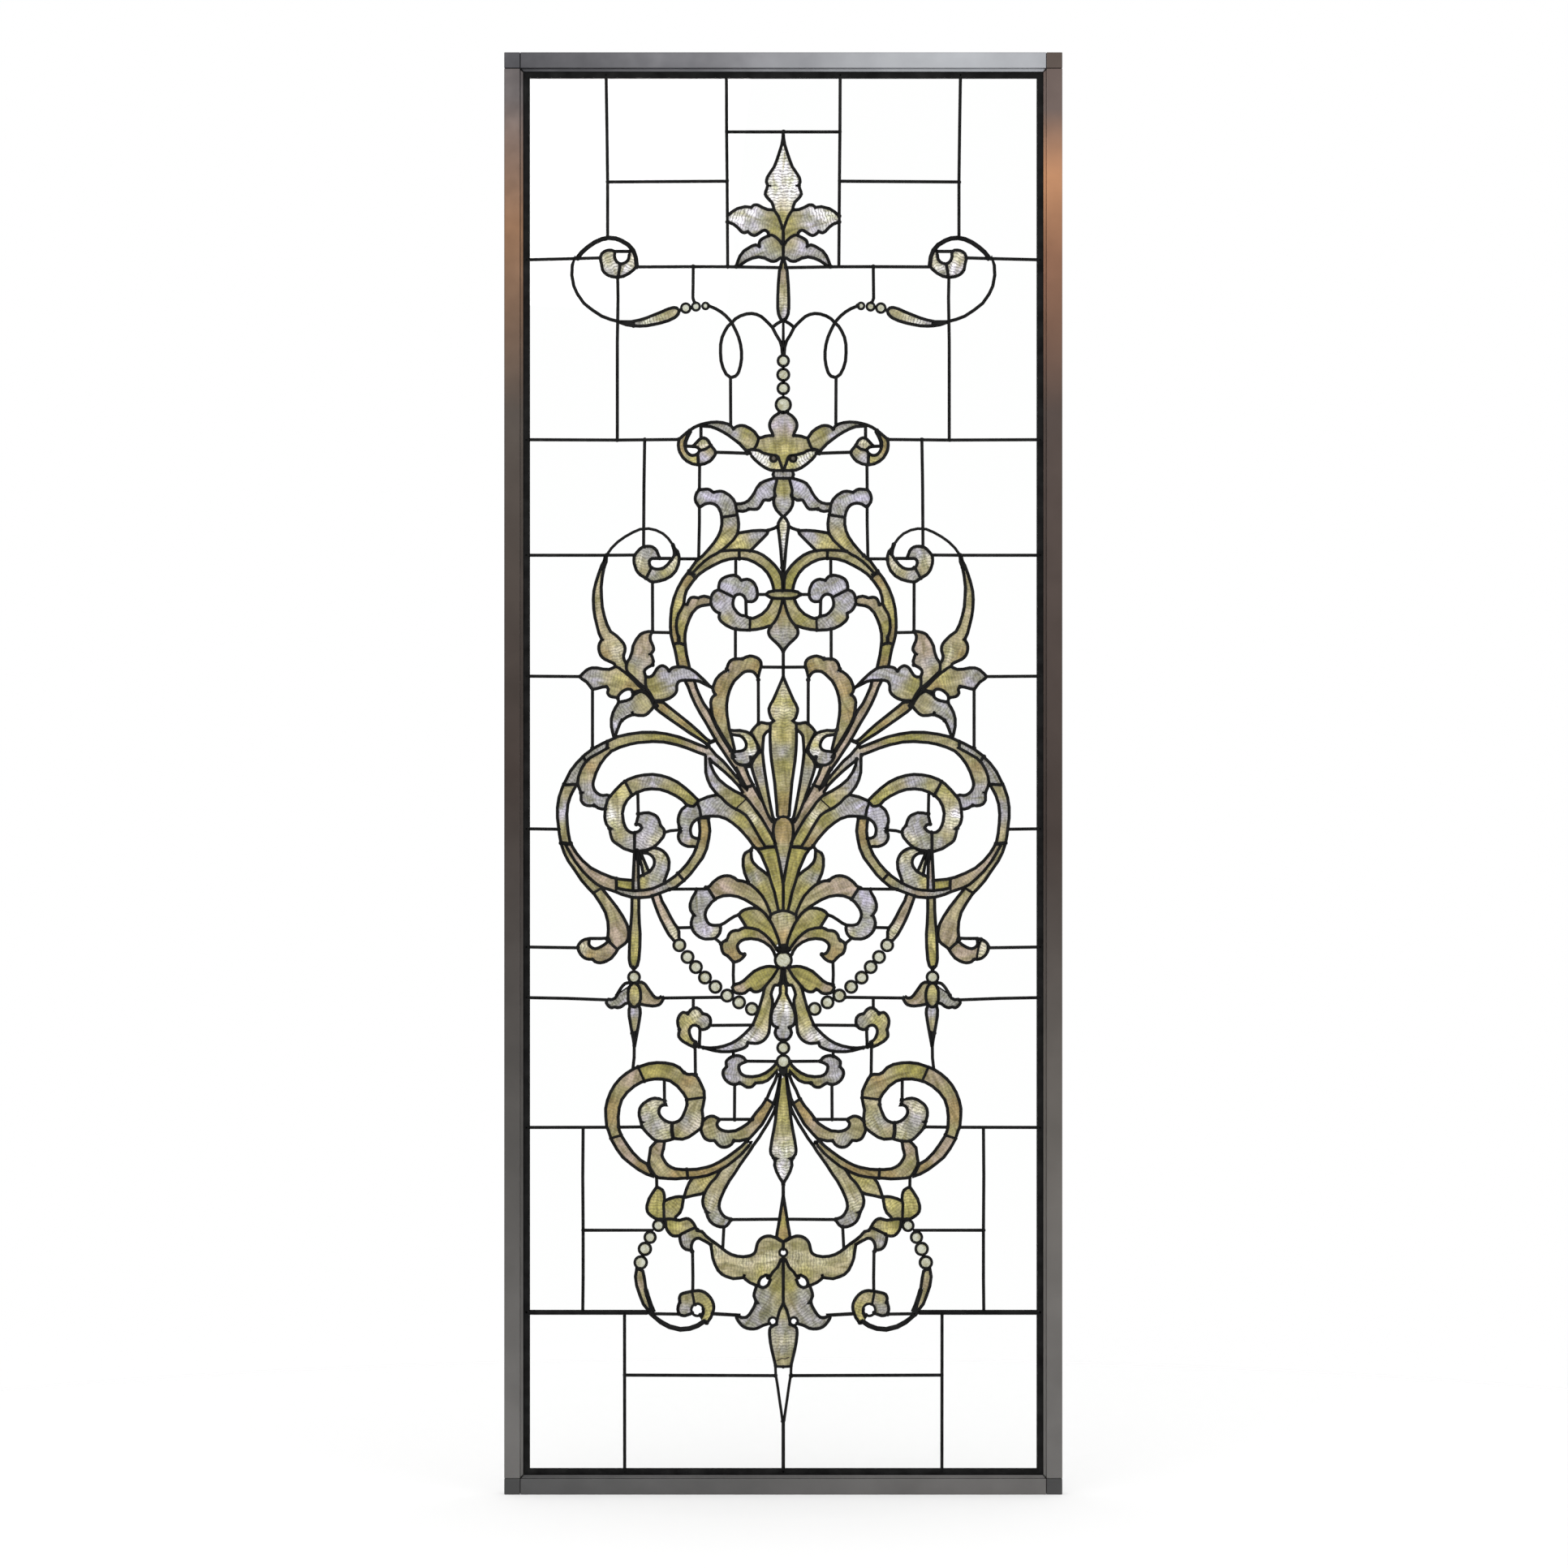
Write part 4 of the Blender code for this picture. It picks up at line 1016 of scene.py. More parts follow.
class WindowSizes(bpy.types.PropertyGroup):
    field_came: FloatProperty(
        name="Field came", description="Width of a straight came", default=4.5 * MM, unit="LENGTH")
    scroll_came: FloatProperty(
        name="Scroll came", description="Width of a came round the ornament", default=4.7 * MM, unit="LENGTH")
    jewel_came: FloatProperty(
        name="Jewel came", description="Width of a jewel's ring", default=3.8 * MM, unit="LENGTH")
    tuck: FloatProperty(
        name="Tuck", description="How far a pane reaches into a came", default=1.0 * MM, unit="LENGTH")
    solder: FloatProperty(
        name="Solder", description="Radius of a soldered joint", default=3.1 * MM, unit="LENGTH")
    dome: FloatProperty(
        name="Jewel dome", description="How far a jewel bulges", default=4.5 * MM, unit="LENGTH")
    grid: FloatProperty(
        name="Grid", description="Spacing of an ornament pane's mesh", default=2.6 * MM, unit="LENGTH")
    ripple: FloatProperty(
        name="Ripple", description="Height of the ripples", default=0.25 * MM, unit="LENGTH")
    round_over: FloatProperty(
        name="Edge", description="Radius of the frame's edges", default=1.0 * MM, unit="LENGTH")


def tint(name, red, green, blue):
    """A colour property whose default is given in the 0 to 255 numbers of a screen."""
    linear = [pow((value / 255 + 0.055) / 1.055, 2.4) for value in (red, green, blue)]
    return FloatVectorProperty(
        name=name, description=f"{name} glass", default=linear, subtype="COLOR", min=0, max=1)


class WindowColours(bpy.types.PropertyGroup):
    white: tint("White", 232, 230, 226)
    lilac: tint("Lilac", 170, 168, 173)
    grey: tint("Grey", 158, 156, 150)
    cream: tint("Cream", 200, 194, 164)
    khaki: tint("Khaki", 162, 153, 110)
    olive: tint("Olive", 150, 142, 70)
    ochre: tint("Ochre", 152, 132, 80)
    pink: tint("Pink", 168, 152, 128)
    straw: tint("Straw", 186, 176, 108)


def placed(x, z):
    """A point of the drawn pattern in metres in the window."""
    return Vector((x * (HIGH.x - LOW.x) / DRAWN_WIDTH, z * (HIGH.z - LOW.z) / DRAWN_HEIGHT))


def spots(text):
    """The numbers of each group in text, with its mirror image unless it lies on the middle line."""
    for word in text.split():
        numbers = list(map(float, word.split(",")))
        yield numbers
        if numbers[0]:
            yield [-numbers[0], *numbers[1:]]


def lines_of(text, face, sides=(1, -1)):
    """The width and the runs of each line of text, with its mirror image. A run ends at a corner."""
    for line in filter(None, text.replace("\n  ", " ").splitlines()):
        words = line.split()
        width = float(words.pop(0)[1:]) * MM if words[0].startswith("w") else face
        runs = " ".join(words).split("/")
        runs = [[tuple(map(float, word.split(","))) for word in run.split()] for run in runs]
        for before, after in zip(runs, runs[1:]):
            after.insert(0, before[-1])
        middle = not any(x for run in runs for x, _ in run)
        for side in sides[:1] if middle else sides:
            yield width, [[placed(side * x, z) for x, z in run] for run in runs]


def circle(x, z, radius, count):
    """A closed run round a drawn point."""
    centre = placed(x, z)
    turns = [2 * math.pi * i / count for i in range(count + 1)]
    return [centre + Vector((math.cos(turn), math.sin(turn))) * radius * MM for turn in turns]


def bend(a, b, c):
    """How far a line turns at b, in radians."""
    return abs((b - a).angle_signed(c - b, 0))


def curved(run, step=math.radians(13), corner=math.radians(58)):
    """The run with points added where it bends. It stays sharp where it turns by more than corner."""
    closed = (run[0] - run[-1]).length < CLEARANCE
    sharp = [i for i in range(1, len(run) - 1) if bend(*run[i - 1:i + 2]) > corner]
    if sharp:
        parts = [run[a:b + 1] for a, b in zip([0] + sharp, sharp + [len(run) - 1])]
        return sum((curved(part)[:-1] for part in parts), []) + [run[-1]]
    before = [run[-2] if closed else run[0]] + run[:-2]
    after = run[2:] + [run[1] if closed else run[-1]]
    points = []
    for p0, p1, p2, p3 in zip(before, run, run[1:], after):
        span = (p2 - p1).length
        leave = (p2 - p0) * span / ((p1 - p0).length + span)
        reach = (p3 - p1) * span / ((p3 - p2).length + span)
        turned = bend(p0, p1, p2) * (p0 != p1) + bend(p1, p2, p3) * (p2 != p3)
        steps = max(1, min(MOST_STEPS, round(turned / 2 / step)))
        points += interpolate_bezier(p1, p1 + leave / 3, p2 - reach / 3, p2, steps + 1)[:-1]
    return [Vector(point[:2]) for point in points] + [run[-1]]


def mitres(points, half):
    """For each point of a line: whether it is an end, the way along, and the reach of a mitred edge."""
    ahead = [(b - a).normalized() for a, b in zip(points, points[1:])]
    closed = (points[0] - points[-1]).length < CLEARANCE
    for i in range(len(points)):
        before = ahead[i - 1] if i or closed else ahead[0]
        after = ahead[i] if i < len(ahead) else ahead[0] if closed else ahead[-1]
        along = (before + after).normalized() if (before + after).length > HAIRPIN else after
        end = not closed and i in (0, len(points) - 1)
        yield end, along, Vector((-along.y, along.x)) * half / max(LEAST_MITRE, along.dot(after))


def ribbon(width, points):
    """The quads of a flat strip along points, mitred at its bends and run on by half its width."""
    rims = []
    for i, (end, along, side) in enumerate(mitres(points, width / 2)):
        middle = points[i] + (along * (width / 2 if i else -width / 2) if end else Vector((0, 0)))
        rims.append((middle - side, middle + side))
    for (a, b), (d, c), start, stop in zip(rims, rims[1:], points, points[1:]):
        if all((q - p).cross(r - q) > 0 for p, q, r in ((a, d, c), (d, c, b), (c, b, a), (b, a, d))):
            yield a, d, c, b
        elif (stop - start).length > CLEARANCE / 3:
            side = (stop - start).normalized().orthogonal() * width / 2
            yield start - side, stop - side, stop + side, start + side


def area_of(outline):
    """The area inside an outline, above zero when it runs anticlockwise."""
    return sum(a.cross(b) for a, b in zip(outline, outline[1:] + outline[:1])) / 2


def divided(shapes, loose=()):
    """The plane cut into triangles: its points, the triangles, and the shapes that hold each triangle."""
    points, faces = [], []
    for shape in shapes:
        faces.append(list(range(len(points), len(points) + len(shape))))
        points += shape if area_of(list(shape)) > 0 else reversed(shape)
    points, _, faces, _, _, holders = delaunay_2d_cdt(points + list(loose), [], faces, 0, TOUCHING, True)
    return points, faces, holders


def edges_of(face):
    """The pairs of neighbouring points round a face."""
    return list(zip(face, face[1:] + face[:1]))


def largest_body(faces):
    """The faces of the largest group that is joined edge to edge."""
    owner = {edge: f for f, face in enumerate(faces) for edge in edges_of(face)}
    left, best = set(range(len(faces))), []
    while left:
        pile, body = [left.pop()], []
        while pile:
            f = pile.pop()
            body.append(f)
            for a, b in edges_of(faces[f]):
                other = owner.get((b, a))
                if other in left:
                    left.remove(other)
                    pile.append(other)
        best = max(best, body, key=len)
    return [faces[f] for f in best]


def rim_of(faces):
    """The edges that have a face on their left only."""
    edges = {edge for face in faces for edge in edges_of(face)}
    return sorted((a, b) for a, b in edges if (b, a) not in edges)


def loops_of(points, faces):
    """The closed outlines round faces, the outer one first. Two cells that meet at a point get one each."""
    edges = rim_of(faces)
    after = {}
    for a, b in edges:
        after.setdefault(a, []).append(b)

    def turn(a, b, c):
        return (points[c] - points[b]).angle_signed(points[a] - points[b]) % (2 * math.pi)

    loops = []
    left = set(edges)
    for edge in edges:
        loop = []
        while edge in left:
            left.remove(edge)
            a, b = edge
            loop.append(points[b])
            edge = b, min(after[b], key=lambda c: turn(a, b, c))
        if loop:
            loops.append(loop)
    return sorted(loops, key=area_of, reverse=True)


def thinned(outline, limit):
    """The outline without the points that lie within limit of the line between those kept."""
    def between(chain):
        a, b = chain[0], chain[-1]
        along = (b - a).normalized()
        off = [abs(along.cross(p - a)) for p in chain]
        far = max(range(len(chain)), key=off.__getitem__)
        if off[far] < limit:
            return [a]
        return between(chain[:far + 1]) + between(chain[far:])

    far = max(range(len(outline)), key=lambda i: (outline[i] - outline[0]).length)
    return between(outline[:far + 1]) + between(outline[far:] + outline[:1])


def grown(outline, reach):
    """The outline moved outwards by reach."""
    points, faces, holders = divided([outline] + [*ribbon(2 * reach, outline + outline[:1])])
    outer = largest_body([face for face, inside in zip(faces, holders) if inside])
    return thinned(loops_of(points, outer)[0], PANE_SLACK)


def holds(outline, point):
    """Whether the point is inside the outline."""
    crossed = False
    for a, b in zip(outline, outline[1:] + outline[:1]):
        if (a.y > point.y) != (b.y > point.y):
            crossed ^= point.x < a.x + (b.x - a.x) * (point.y - a.y) / (b.y - a.y)
    return crossed


def rings():
    """Each round came: its centre as drawn and its radius."""
    return [*spots(JEWELS + DARK_JEWELS + EYES)]


def border_run():
    """The centre line of the border came, which the rails' lips hold by its outer edge."""
    width = BORDER_CAME + LIP
    x, z0, z1 = NET_HIGH.x - width / 2, NET_LOW.z + width / 2, NET_HIGH.z - width / 2
    corners = [Vector((-x, z0)), Vector((x, z0)), Vector((x, z1)), Vector((-x, z1))]
    return width, corners + corners[:1]


def sampled(points, spacing):
    """Points along a line, close enough together to find the nearest place on it."""
    for a, b in zip(points, points[1:]):
        count = max(1, round((b - a).length / spacing))
        for i in range(count):
            yield a.lerp(b, i / count)
    yield points[-1]


@lru_cache
def net_lines():
    """The width and the runs of each came in the net. An end that stops short is carried on to another."""
    sizes = bpy.context.scene.window_sizes
    drawn = [*lines_of(FIELD_CAMES, sizes.field_came),
             *lines_of("".join(SCROLL_CAMES.values()), sizes.scroll_came),
             *lines_of(REPAIRS, sizes.field_came, (1,))]
    drawn = [(width, [curved(run) for run in runs]) for width, runs in drawn]
    fixed = [circle(x, z, radius, RING_SIDES) for x, z, radius in rings()]
    fixed.append(border_run()[1])
    lines = [sum(runs, []) for _, runs in drawn] + fixed
    samples = [(point, number) for number, line in enumerate(lines) for point in sampled(line, SAMPLE)]
    tree = KDTree(len(samples))
    for i, (point, _) in enumerate(samples):
        tree.insert(point.to_3d(), i)
    tree.balance()
    for number, (_, runs) in enumerate(drawn):
        for run, end in ((runs[0], 0), (runs[-1], -1)):
            near = tree.find_range(run[end].to_3d(), MEETING)
            near = [(far, *place) for place, i, far in near if samples[i][1] != number]
            if near and min(near)[0] > SAMPLE:
                run.insert(len(run) if end else 0, Vector(min(near)[1:3]))
    return drawn


@lru_cache
def cells():
    """The outline of each opening in the lead net."""
    sizes = bpy.context.scene.window_sizes
    shapes = [*ribbon(*border_run())]
    for width, runs in net_lines():
        for run in runs:
            shapes += ribbon(width, run)
    for x, z, radius in rings():
        shapes += ribbon(sizes.jewel_came, circle(x, z, radius, CUT_SIDES))
    points, faces, holders = divided(shapes)
    lead = largest_body([face for face, inside in zip(faces, holders) if inside])
    openings = [list(reversed(loop)) for loop in loops_of(points, lead)[1:]]
    return [thinned(opening, OPENING_SLACK) for opening in openings if area_of(opening) > LEAST_CELL]


@lru_cache
def sorted_panes():
    """The outlines of the clear panes, and the (outline, tinted points) of the ornament panes."""
    tinted = []
    for line in TINTS.strip().splitlines():
        words = line.split()
        for x, z in spots(" ".join(words[1:])):
            tinted.append((placed(x, z), words[0]))
    jewels = [placed(x, z) for x, z, _ in spots(JEWELS + DARK_JEWELS)]
    clear, ornament = [], []
    for cell in cells():
        within = [(point, name) for point, name in tinted if holds(cell, point)]
        if within:
            ornament.append((cell, within))
        elif not any(holds(cell, centre) for centre in jewels):
            clear.append(cell)
    return clear, ornament


def new_piece(name, source, slot, *nodes):
    """Makes the object of a finished bmesh. It rides on the window and stands for the nodes."""
    mesh = bpy.data.meshes.new(name)
    source.to_mesh(mesh)
    source.free()
    piece = bpy.data.objects.new(name, mesh)
    bpy.context.collection.objects.link(piece)
    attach(piece, "root")
    if nodes:
        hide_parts(*nodes)
    return piece


def merge_in(source, part):
    """Adds the small bmesh part to source."""
    bmesh.ops.recalc_face_normals(part, faces=part.faces)
    mesh = bpy.data.meshes.new("part")
    part.to_mesh(mesh)
    part.free()
    source.from_mesh(mesh)
    bpy.data.meshes.remove(mesh)


def nodes_named(start):
    """The names of the part's nodes that begin with start."""
    return sorted(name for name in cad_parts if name.startswith(start))


def of_type(elements, kind):
    """The vertices, edges or faces among the elements that an operator made."""
    return [element for element in elements if isinstance(element, kind)]


def place_of(point, across, along, depth):
    """The matrix that puts a section of unit size across a line at point."""
    matrix = Matrix.Identity(4)
    matrix.col[0] = across.x, 0, across.y, 0
    matrix.col[1] = 0, depth / 2, 0, 0
    matrix.col[2] = along.x, 0, along.y, 0
    matrix.col[3] = point.x, 0, point.y, 1
    return matrix


def strip(source, width, depth, points):
    """Draws a domed came section along points and adds it to source."""
    part = bmesh.new()
    turned = Matrix.Rotation(math.pi / 8, 4, "Z")
    closed = (points[0] - points[-1]).length < CLEARANCE
    last = ring = None
    for point, (_, along, side) in zip(points, mitres(points, width / 2)):
        place = place_of(point, side, along, depth)
        if ring is None:
            bmesh.ops.create_circle(part, segments=8, radius=SECTION_RADIUS, matrix=place @ turned)
            ring = part.edges[:]
        else:
            made = bmesh.ops.extrude_edge_only(part, edges=ring)["geom"]
            fresh = of_type(made, bmesh.types.BMVert)
            bmesh.ops.transform(part, matrix=place @ last.inverted(), verts=fresh)
            ring = [edge for edge in of_type(made, bmesh.types.BMEdge) if edge.is_boundary]
        last = place
    if closed:
        bmesh.ops.remove_doubles(part, verts=part.verts, dist=CLEARANCE / 10)
    else:
        bmesh.ops.holes_fill(part, edges=[edge for edge in part.edges if edge.is_boundary], sides=8)
    merge_in(source, part)


def smooth_sides(source, angle=math.radians(40)):
    """Smooth faces, with the edges that bend by more than angle kept sharp."""
    for face in source.faces:
        face.smooth = True
    for edge in source.edges:
        edge.smooth = len(edge.link_faces) == 2 and edge.calc_face_angle(0) < angle


def joints():
    """Where cames are soldered: at the ends and corners of each line."""
    places = [run[end] for _, runs in net_lines() for run in runs for end in (0, -1)]
    tree = KDTree(len(places))
    for i, place in enumerate(places):
        tree.insert(place.to_3d(), i)
    tree.balance()
    taken = set()
    for i, place in enumerate(places):
        if i in taken:
            continue
        near = [other for _, other, _ in tree.find_range(place.to_3d(), JOINT_REACH)]
        taken.update(near)
        yield place


def shader(name, **values):
    """A material, its node tree and its shader, with the values set on the shader's own sockets."""
    material = bpy.data.materials.new(name)
    material.use_nodes = True
    tree = material.node_tree
    principled = tree.nodes["Principled BSDF"]
    for key, value in values.items():
        principled.inputs[key.replace("_", " ")].default_value = value
    return material, tree, principled


def node(tree, kind, *links, **values):
    """A node. links are (input, output socket) pairs, and values are set on its inputs or on the node."""
    made = tree.nodes.new(kind)
    for key, value in values.items():
        if key in made.bl_rna.properties:
            setattr(made, key, value)
        else:
            made.inputs[key.replace("_", " ")].default_value = value
    for key, output in links:
        tree.links.new(output, made.inputs[key])
    return made


def ramp(tree, factor, *stops):
    """A colour ramp of (place, grey or colour) stops."""
    made = node(tree, "ShaderNodeValToRGB", ("Fac", factor))
    elements = made.color_ramp.elements
    while len(elements) < len(stops):
        elements.new(0.5)
    for element, (place, colour) in zip(elements, stops):
        element.position = place
        element.color = (*colour, 1) if isinstance(colour, tuple) else (colour, colour, colour, 1)
    return made.outputs["Color"]


def give_bump(tree, principled, height, strength, distance):
    """Connects a bump map to the shader."""
    bump = node(tree, "ShaderNodeBump", ("Height", height), Strength=strength, Distance=distance)
    tree.links.new(bump.outputs["Normal"], principled.inputs["Normal"])


def object_noise(tree, scale, detail=3.0, **values):
    """Noise on the object's own coordinates."""
    place = node(tree, "ShaderNodeTexCoord").outputs["Object"]
    made = node(tree, "ShaderNodeTexNoise", ("Vector", place), Scale=scale, Detail=detail, **values)
    return made.outputs["Fac"]


def lead_finish(name, dark, pale, roughness):
    """Blackened lead or solder: mottled, with a dull sheen where it has been rubbed."""
    material, tree, principled = shader(name, Metallic=0.0, Roughness=roughness, Specular_IOR_Level=0.06)
    colour = ramp(tree, object_noise(tree, 45, 6), (0.35, dark), (0.75, pale))
    tree.links.new(colour, principled.inputs["Base Color"])
    rough = ramp(tree, object_noise(tree, 120), (0.3, roughness - 0.12), (0.7, roughness + 0.15))
    tree.links.new(rough, principled.inputs["Roughness"])
    give_bump(tree, principled, object_noise(tree, 90, 4), 0.15, 0.3 * MM)
    return material


def frame_finish(name, axis, *stops):
    """Satin metal, mottled, whose patina and painted reflections change along axis in stops of (place,
    colour).
    """
    material, tree, principled = shader(name, Metallic=0.85, Roughness=0.36)
    place = node(tree, "ShaderNodeTexCoord").outputs["Object"]
    along = node(tree, "ShaderNodeSeparateXYZ", ("Vector", place)).outputs[axis]
    span = (LOW.x, HIGH.x) if axis == "X" else (LOW.z, HIGH.z)
    share = node(tree, "ShaderNodeMapRange", ("Value", along), From_Min=span[0], From_Max=span[1])
    mottled = ramp(tree, object_noise(tree, 14, 6), (0.3, 0.88), (0.7, 1.08))
    # The stops' colour: patina, and on the stiles and the top rail painted reflections as well.
    patina_and_painted_reflection = multiplied(tree, ramp(tree, share.outputs["Result"], *stops), mottled)
    tree.links.new(patina_and_painted_reflection, principled.inputs["Base Color"])
    rough = ramp(tree, object_noise(tree, 30, 6), (0.3, 0.28), (0.7, 0.44))
    tree.links.new(rough, principled.inputs["Roughness"])
    give_bump(tree, principled, object_noise(tree, 700, 2), 0.12, 0.1 * MM)
    return material


def multiplied(tree, colour, pattern, share=1.0):
    """The colour times the pattern. share is a number or a socket."""
    mix = node(tree, "ShaderNodeMix", data_type="RGBA", blend_type="MULTIPLY")
    if isinstance(share, float):
        mix.inputs[0].default_value = share
    else:
        tree.links.new(share, mix.inputs[0])
    tree.links.new(colour, mix.inputs[6])
    tree.links.new(pattern, mix.inputs[7])
    return mix.outputs[2]


def ornament_finish():
    """Streaky rippled glass tinted by the pane's attribute, its ribs painted light and dark across it,
    streaks along it.
    """
    material, tree, principled = shader("rippled_glass", Roughness=0.22, IOR=1.5, Transmission_Weight=0.35)
    attribute = node(tree, "ShaderNodeAttribute", attribute_name="tint")
    place = node(tree, "ShaderNodeUVMap", uv_map="Ripple").outputs["UV"]
    wave = node(tree, "ShaderNodeTexWave", ("Vector", place), bands_direction="X", Scale=75, Distortion=7,
                Detail=3, Detail_Scale=1.8)
    # Painted highlight and painted shade of the ribs: light and dark bands on the wave that also makes the
    # bump.
    rib_light = ramp(tree, wave.outputs["Fac"], (0.0, 0.3), (0.25, 0.85), (0.7, 1.0), (0.95, 1.35))
    drawn = node(tree, "ShaderNodeMapping", ("Vector", place), Scale=(0.3, 1, 1)).outputs["Vector"]
    streaks = node(tree, "ShaderNodeTexNoise", ("Vector", drawn), Scale=110, Detail=5, Distortion=0.8)
    streaks = ramp(tree, streaks.outputs["Fac"],
                   (0.32, (0.62, 0.6, 0.42)), (0.48, (1, 1, 1)), (0.66, (1.45, 1.45, 1.55)))
    clouds = ramp(tree, object_noise(tree, 34, 4, Distortion=1.2),
                  (0.32, (0.8, 0.82, 0.62)), (0.5, (1, 1, 1)), (0.68, (1.22, 1.18, 1.34)))
    fine = node(tree, "ShaderNodeTexNoise", ("Vector", drawn), Scale=330, Detail=3)
    fine = ramp(tree, fine.outputs["Fac"], (0.35, 0.8), (0.65, 1.2))
    colour = multiplied(tree, attribute.outputs["Color"], rib_light, attribute.outputs["Alpha"])
    for pattern in (streaks, clouds, fine):
        colour = multiplied(tree, colour, pattern)
    tree.links.new(colour, principled.inputs["Base Color"])
    give_bump(tree, principled, wave.outputs["Fac"], 0.35, 0.6 * MM)
    return material


def paint(piece, material):
    """Gives the piece this one material."""
    piece.data.materials.clear()
    piece.data.materials.append(material)


class WINDOW_OT_frame(bpy.types.Operator):
    """Finish the four rails and the four corner keys"""
    bl_idname = "window.frame"
    bl_label = "Frame"

    def execute(self, context):
        brown, grey, painted_reflection_grey = (0.05, 0.038, 0.033), (0.16, 0.155, 0.15), (0.34, 0.35, 0.37)
        # The stiles grow lighter towards the bottom, and the copper band near the top of each is a painted
        # warm reflection of a lamp.
        left = frame_finish(
            "left_stile_metal_painted_reflection", "Z", (0, grey), (0.25, (0.09, 0.085, 0.08)), (0.5, brown),
            (0.75, (0.07, 0.058, 0.05)), (0.88, (0.19, 0.105, 0.06)), (0.97, (0.09, 0.08, 0.08)))
        right = frame_finish(
            "right_stile_metal_painted_reflection", "Z", (0, grey), (0.25, (0.12, 0.11, 0.10)), (0.45, brown),
            (0.75, (0.07, 0.052, 0.045)), (0.86, (0.2, 0.1, 0.06)), (0.915, (0.42, 0.21, 0.11)),
            (0.96, (0.12, 0.09, 0.08)))
        # The top rail grows lighter towards the right, a painted reflection, and the top left key shares this
        # finish.
        top = frame_finish(
            "top_rail_metal_painted_reflection", "X", (0, (0.05, 0.05, 0.055)), (0.35, (0.12, 0.12, 0.13)), (0.75, painted_reflection_grey))
        bottom = frame_finish("bottom_rail_metal", "X", (0, (0.09, 0.09, 0.09)), (1, (0.15, 0.145, 0.14)))
        dark_key = frame_finish("dark_key_metal", "Z", (0, (0.07, 0.07, 0.07)), (1, (0.09, 0.07, 0.06)))
        finishes = {"rail_left": left, "rail_right": right, "rail_top": top, "rail_bottom": bottom,
                    "key_top_left": top, "key_top_right": dark_key,
                    "key_bottom_left": dark_key, "key_bottom_right": dark_key}
        for name in nodes_named("rail") + nodes_named("key"):
            piece = bpy.data.objects[name]
            for slot in piece.material_slots:
                slot.material = finishes[name]
            weld = piece.modifiers.new("Weld", "WELD")
            weld.merge_threshold = CLEARANCE / 30
            bevel = piece.modifiers.new("Round edges", "BEVEL")
            bevel.width = context.scene.window_sizes.round_over
            bevel.segments = 3
            bevel.limit_method = "ANGLE"
            bevel.angle_limit = math.radians(50)
        return {"FINISHED"}


class WINDOW_OT_cames(bpy.types.Operator):
    """Build the lead cames, the border came and the soldered joints"""
    bl_idname = "window.cames"
    bl_label = "Cames"

    def execute(self, context):
        sizes = context.scene.window_sizes
        net = bmesh.new()
        for width, runs in net_lines():
            for run in runs:
                strip(net, width, NET_DEPTH, run)
        for x, z, radius in rings():
            strip(net, sizes.jewel_came, NET_DEPTH, circle(x, z, radius, RING_SIDES))
        strip(net, border_run()[0], NET_DEPTH, border_run()[1])
        smooth_sides(net)
        piece = new_piece("came_net", net, "lead", "cames")
        paint(piece, lead_finish("black_lead", 0.004, 0.014, 0.45))
        solder = bmesh.new()
        rng = random.Random(7)
        for place in joints():
            reach = sizes.solder * rng.uniform(0.85, 1.15)
            part = bmesh.new()
            turn = Matrix.Rotation(rng.uniform(0, math.pi), 4, "Y")
            size = Matrix.Diagonal((reach * rng.uniform(0.9, 1.15), NET_DEPTH * 0.54, reach, 1))
            bmesh.ops.create_uvsphere(part, u_segments=8, v_segments=5, radius=1,
                                      matrix=Matrix.Translation((place.x, 0, place.y)) @ turn @ size)
            merge_in(solder, part)
        smooth_sides(solder, math.pi)
        piece = new_piece("solder_joints", solder, "lead", "cames")
        paint(piece, lead_finish("dark_solder", 0.005, 0.02, 0.4))
        return {"FINISHED"}


def slab(source, outline):
    """Adds a flat pane of the outline to source."""
    part = bmesh.new()
    face = part.faces.new([part.verts.new((p.x, -GLASS_DEPTH / 2, p.y)) for p in outline])
    made = bmesh.ops.extrude_face_region(part, geom=[face])["geom"]
    bmesh.ops.translate(part, vec=(0, GLASS_DEPTH, 0), verts=of_type(made, bmesh.types.BMVert))
    merge_in(source, part)


class WINDOW_OT_clear_panes(bpy.types.Operator):
    """Build the panes of plain clear glass"""
    bl_idname = "window.clear_panes"
    bl_label = "Clear panes"

    def execute(self, context):
        panes = bmesh.new()
        for outline in sorted_panes()[0]:
            slab(panes, grown(outline, context.scene.window_sizes.tuck))
        piece = new_piece("clear_panes", panes, "clear_glass", *nodes_named("field_glass"))
        finish = shader("clear_window_glass", Base_Color=(0.995, 0.998, 0.996, 1), Roughness=0, IOR=1.45,
                        Transmission_Weight=1)
        paint(piece, finish[0])
        return {"FINISHED"}


def long_axis(outline):
    """The direction in which the outline is longest."""
    centre = sum(outline, Vector((0, 0))) / len(outline)
    across = sum((p.x - centre.x) * (p.y - centre.y) for p in outline)
    spread = sum((p.x - centre.x) ** 2 - (p.y - centre.y) ** 2 for p in outline)
    turn = math.atan2(2 * across, spread) / 2
    return Vector((math.cos(turn), math.sin(turn)))


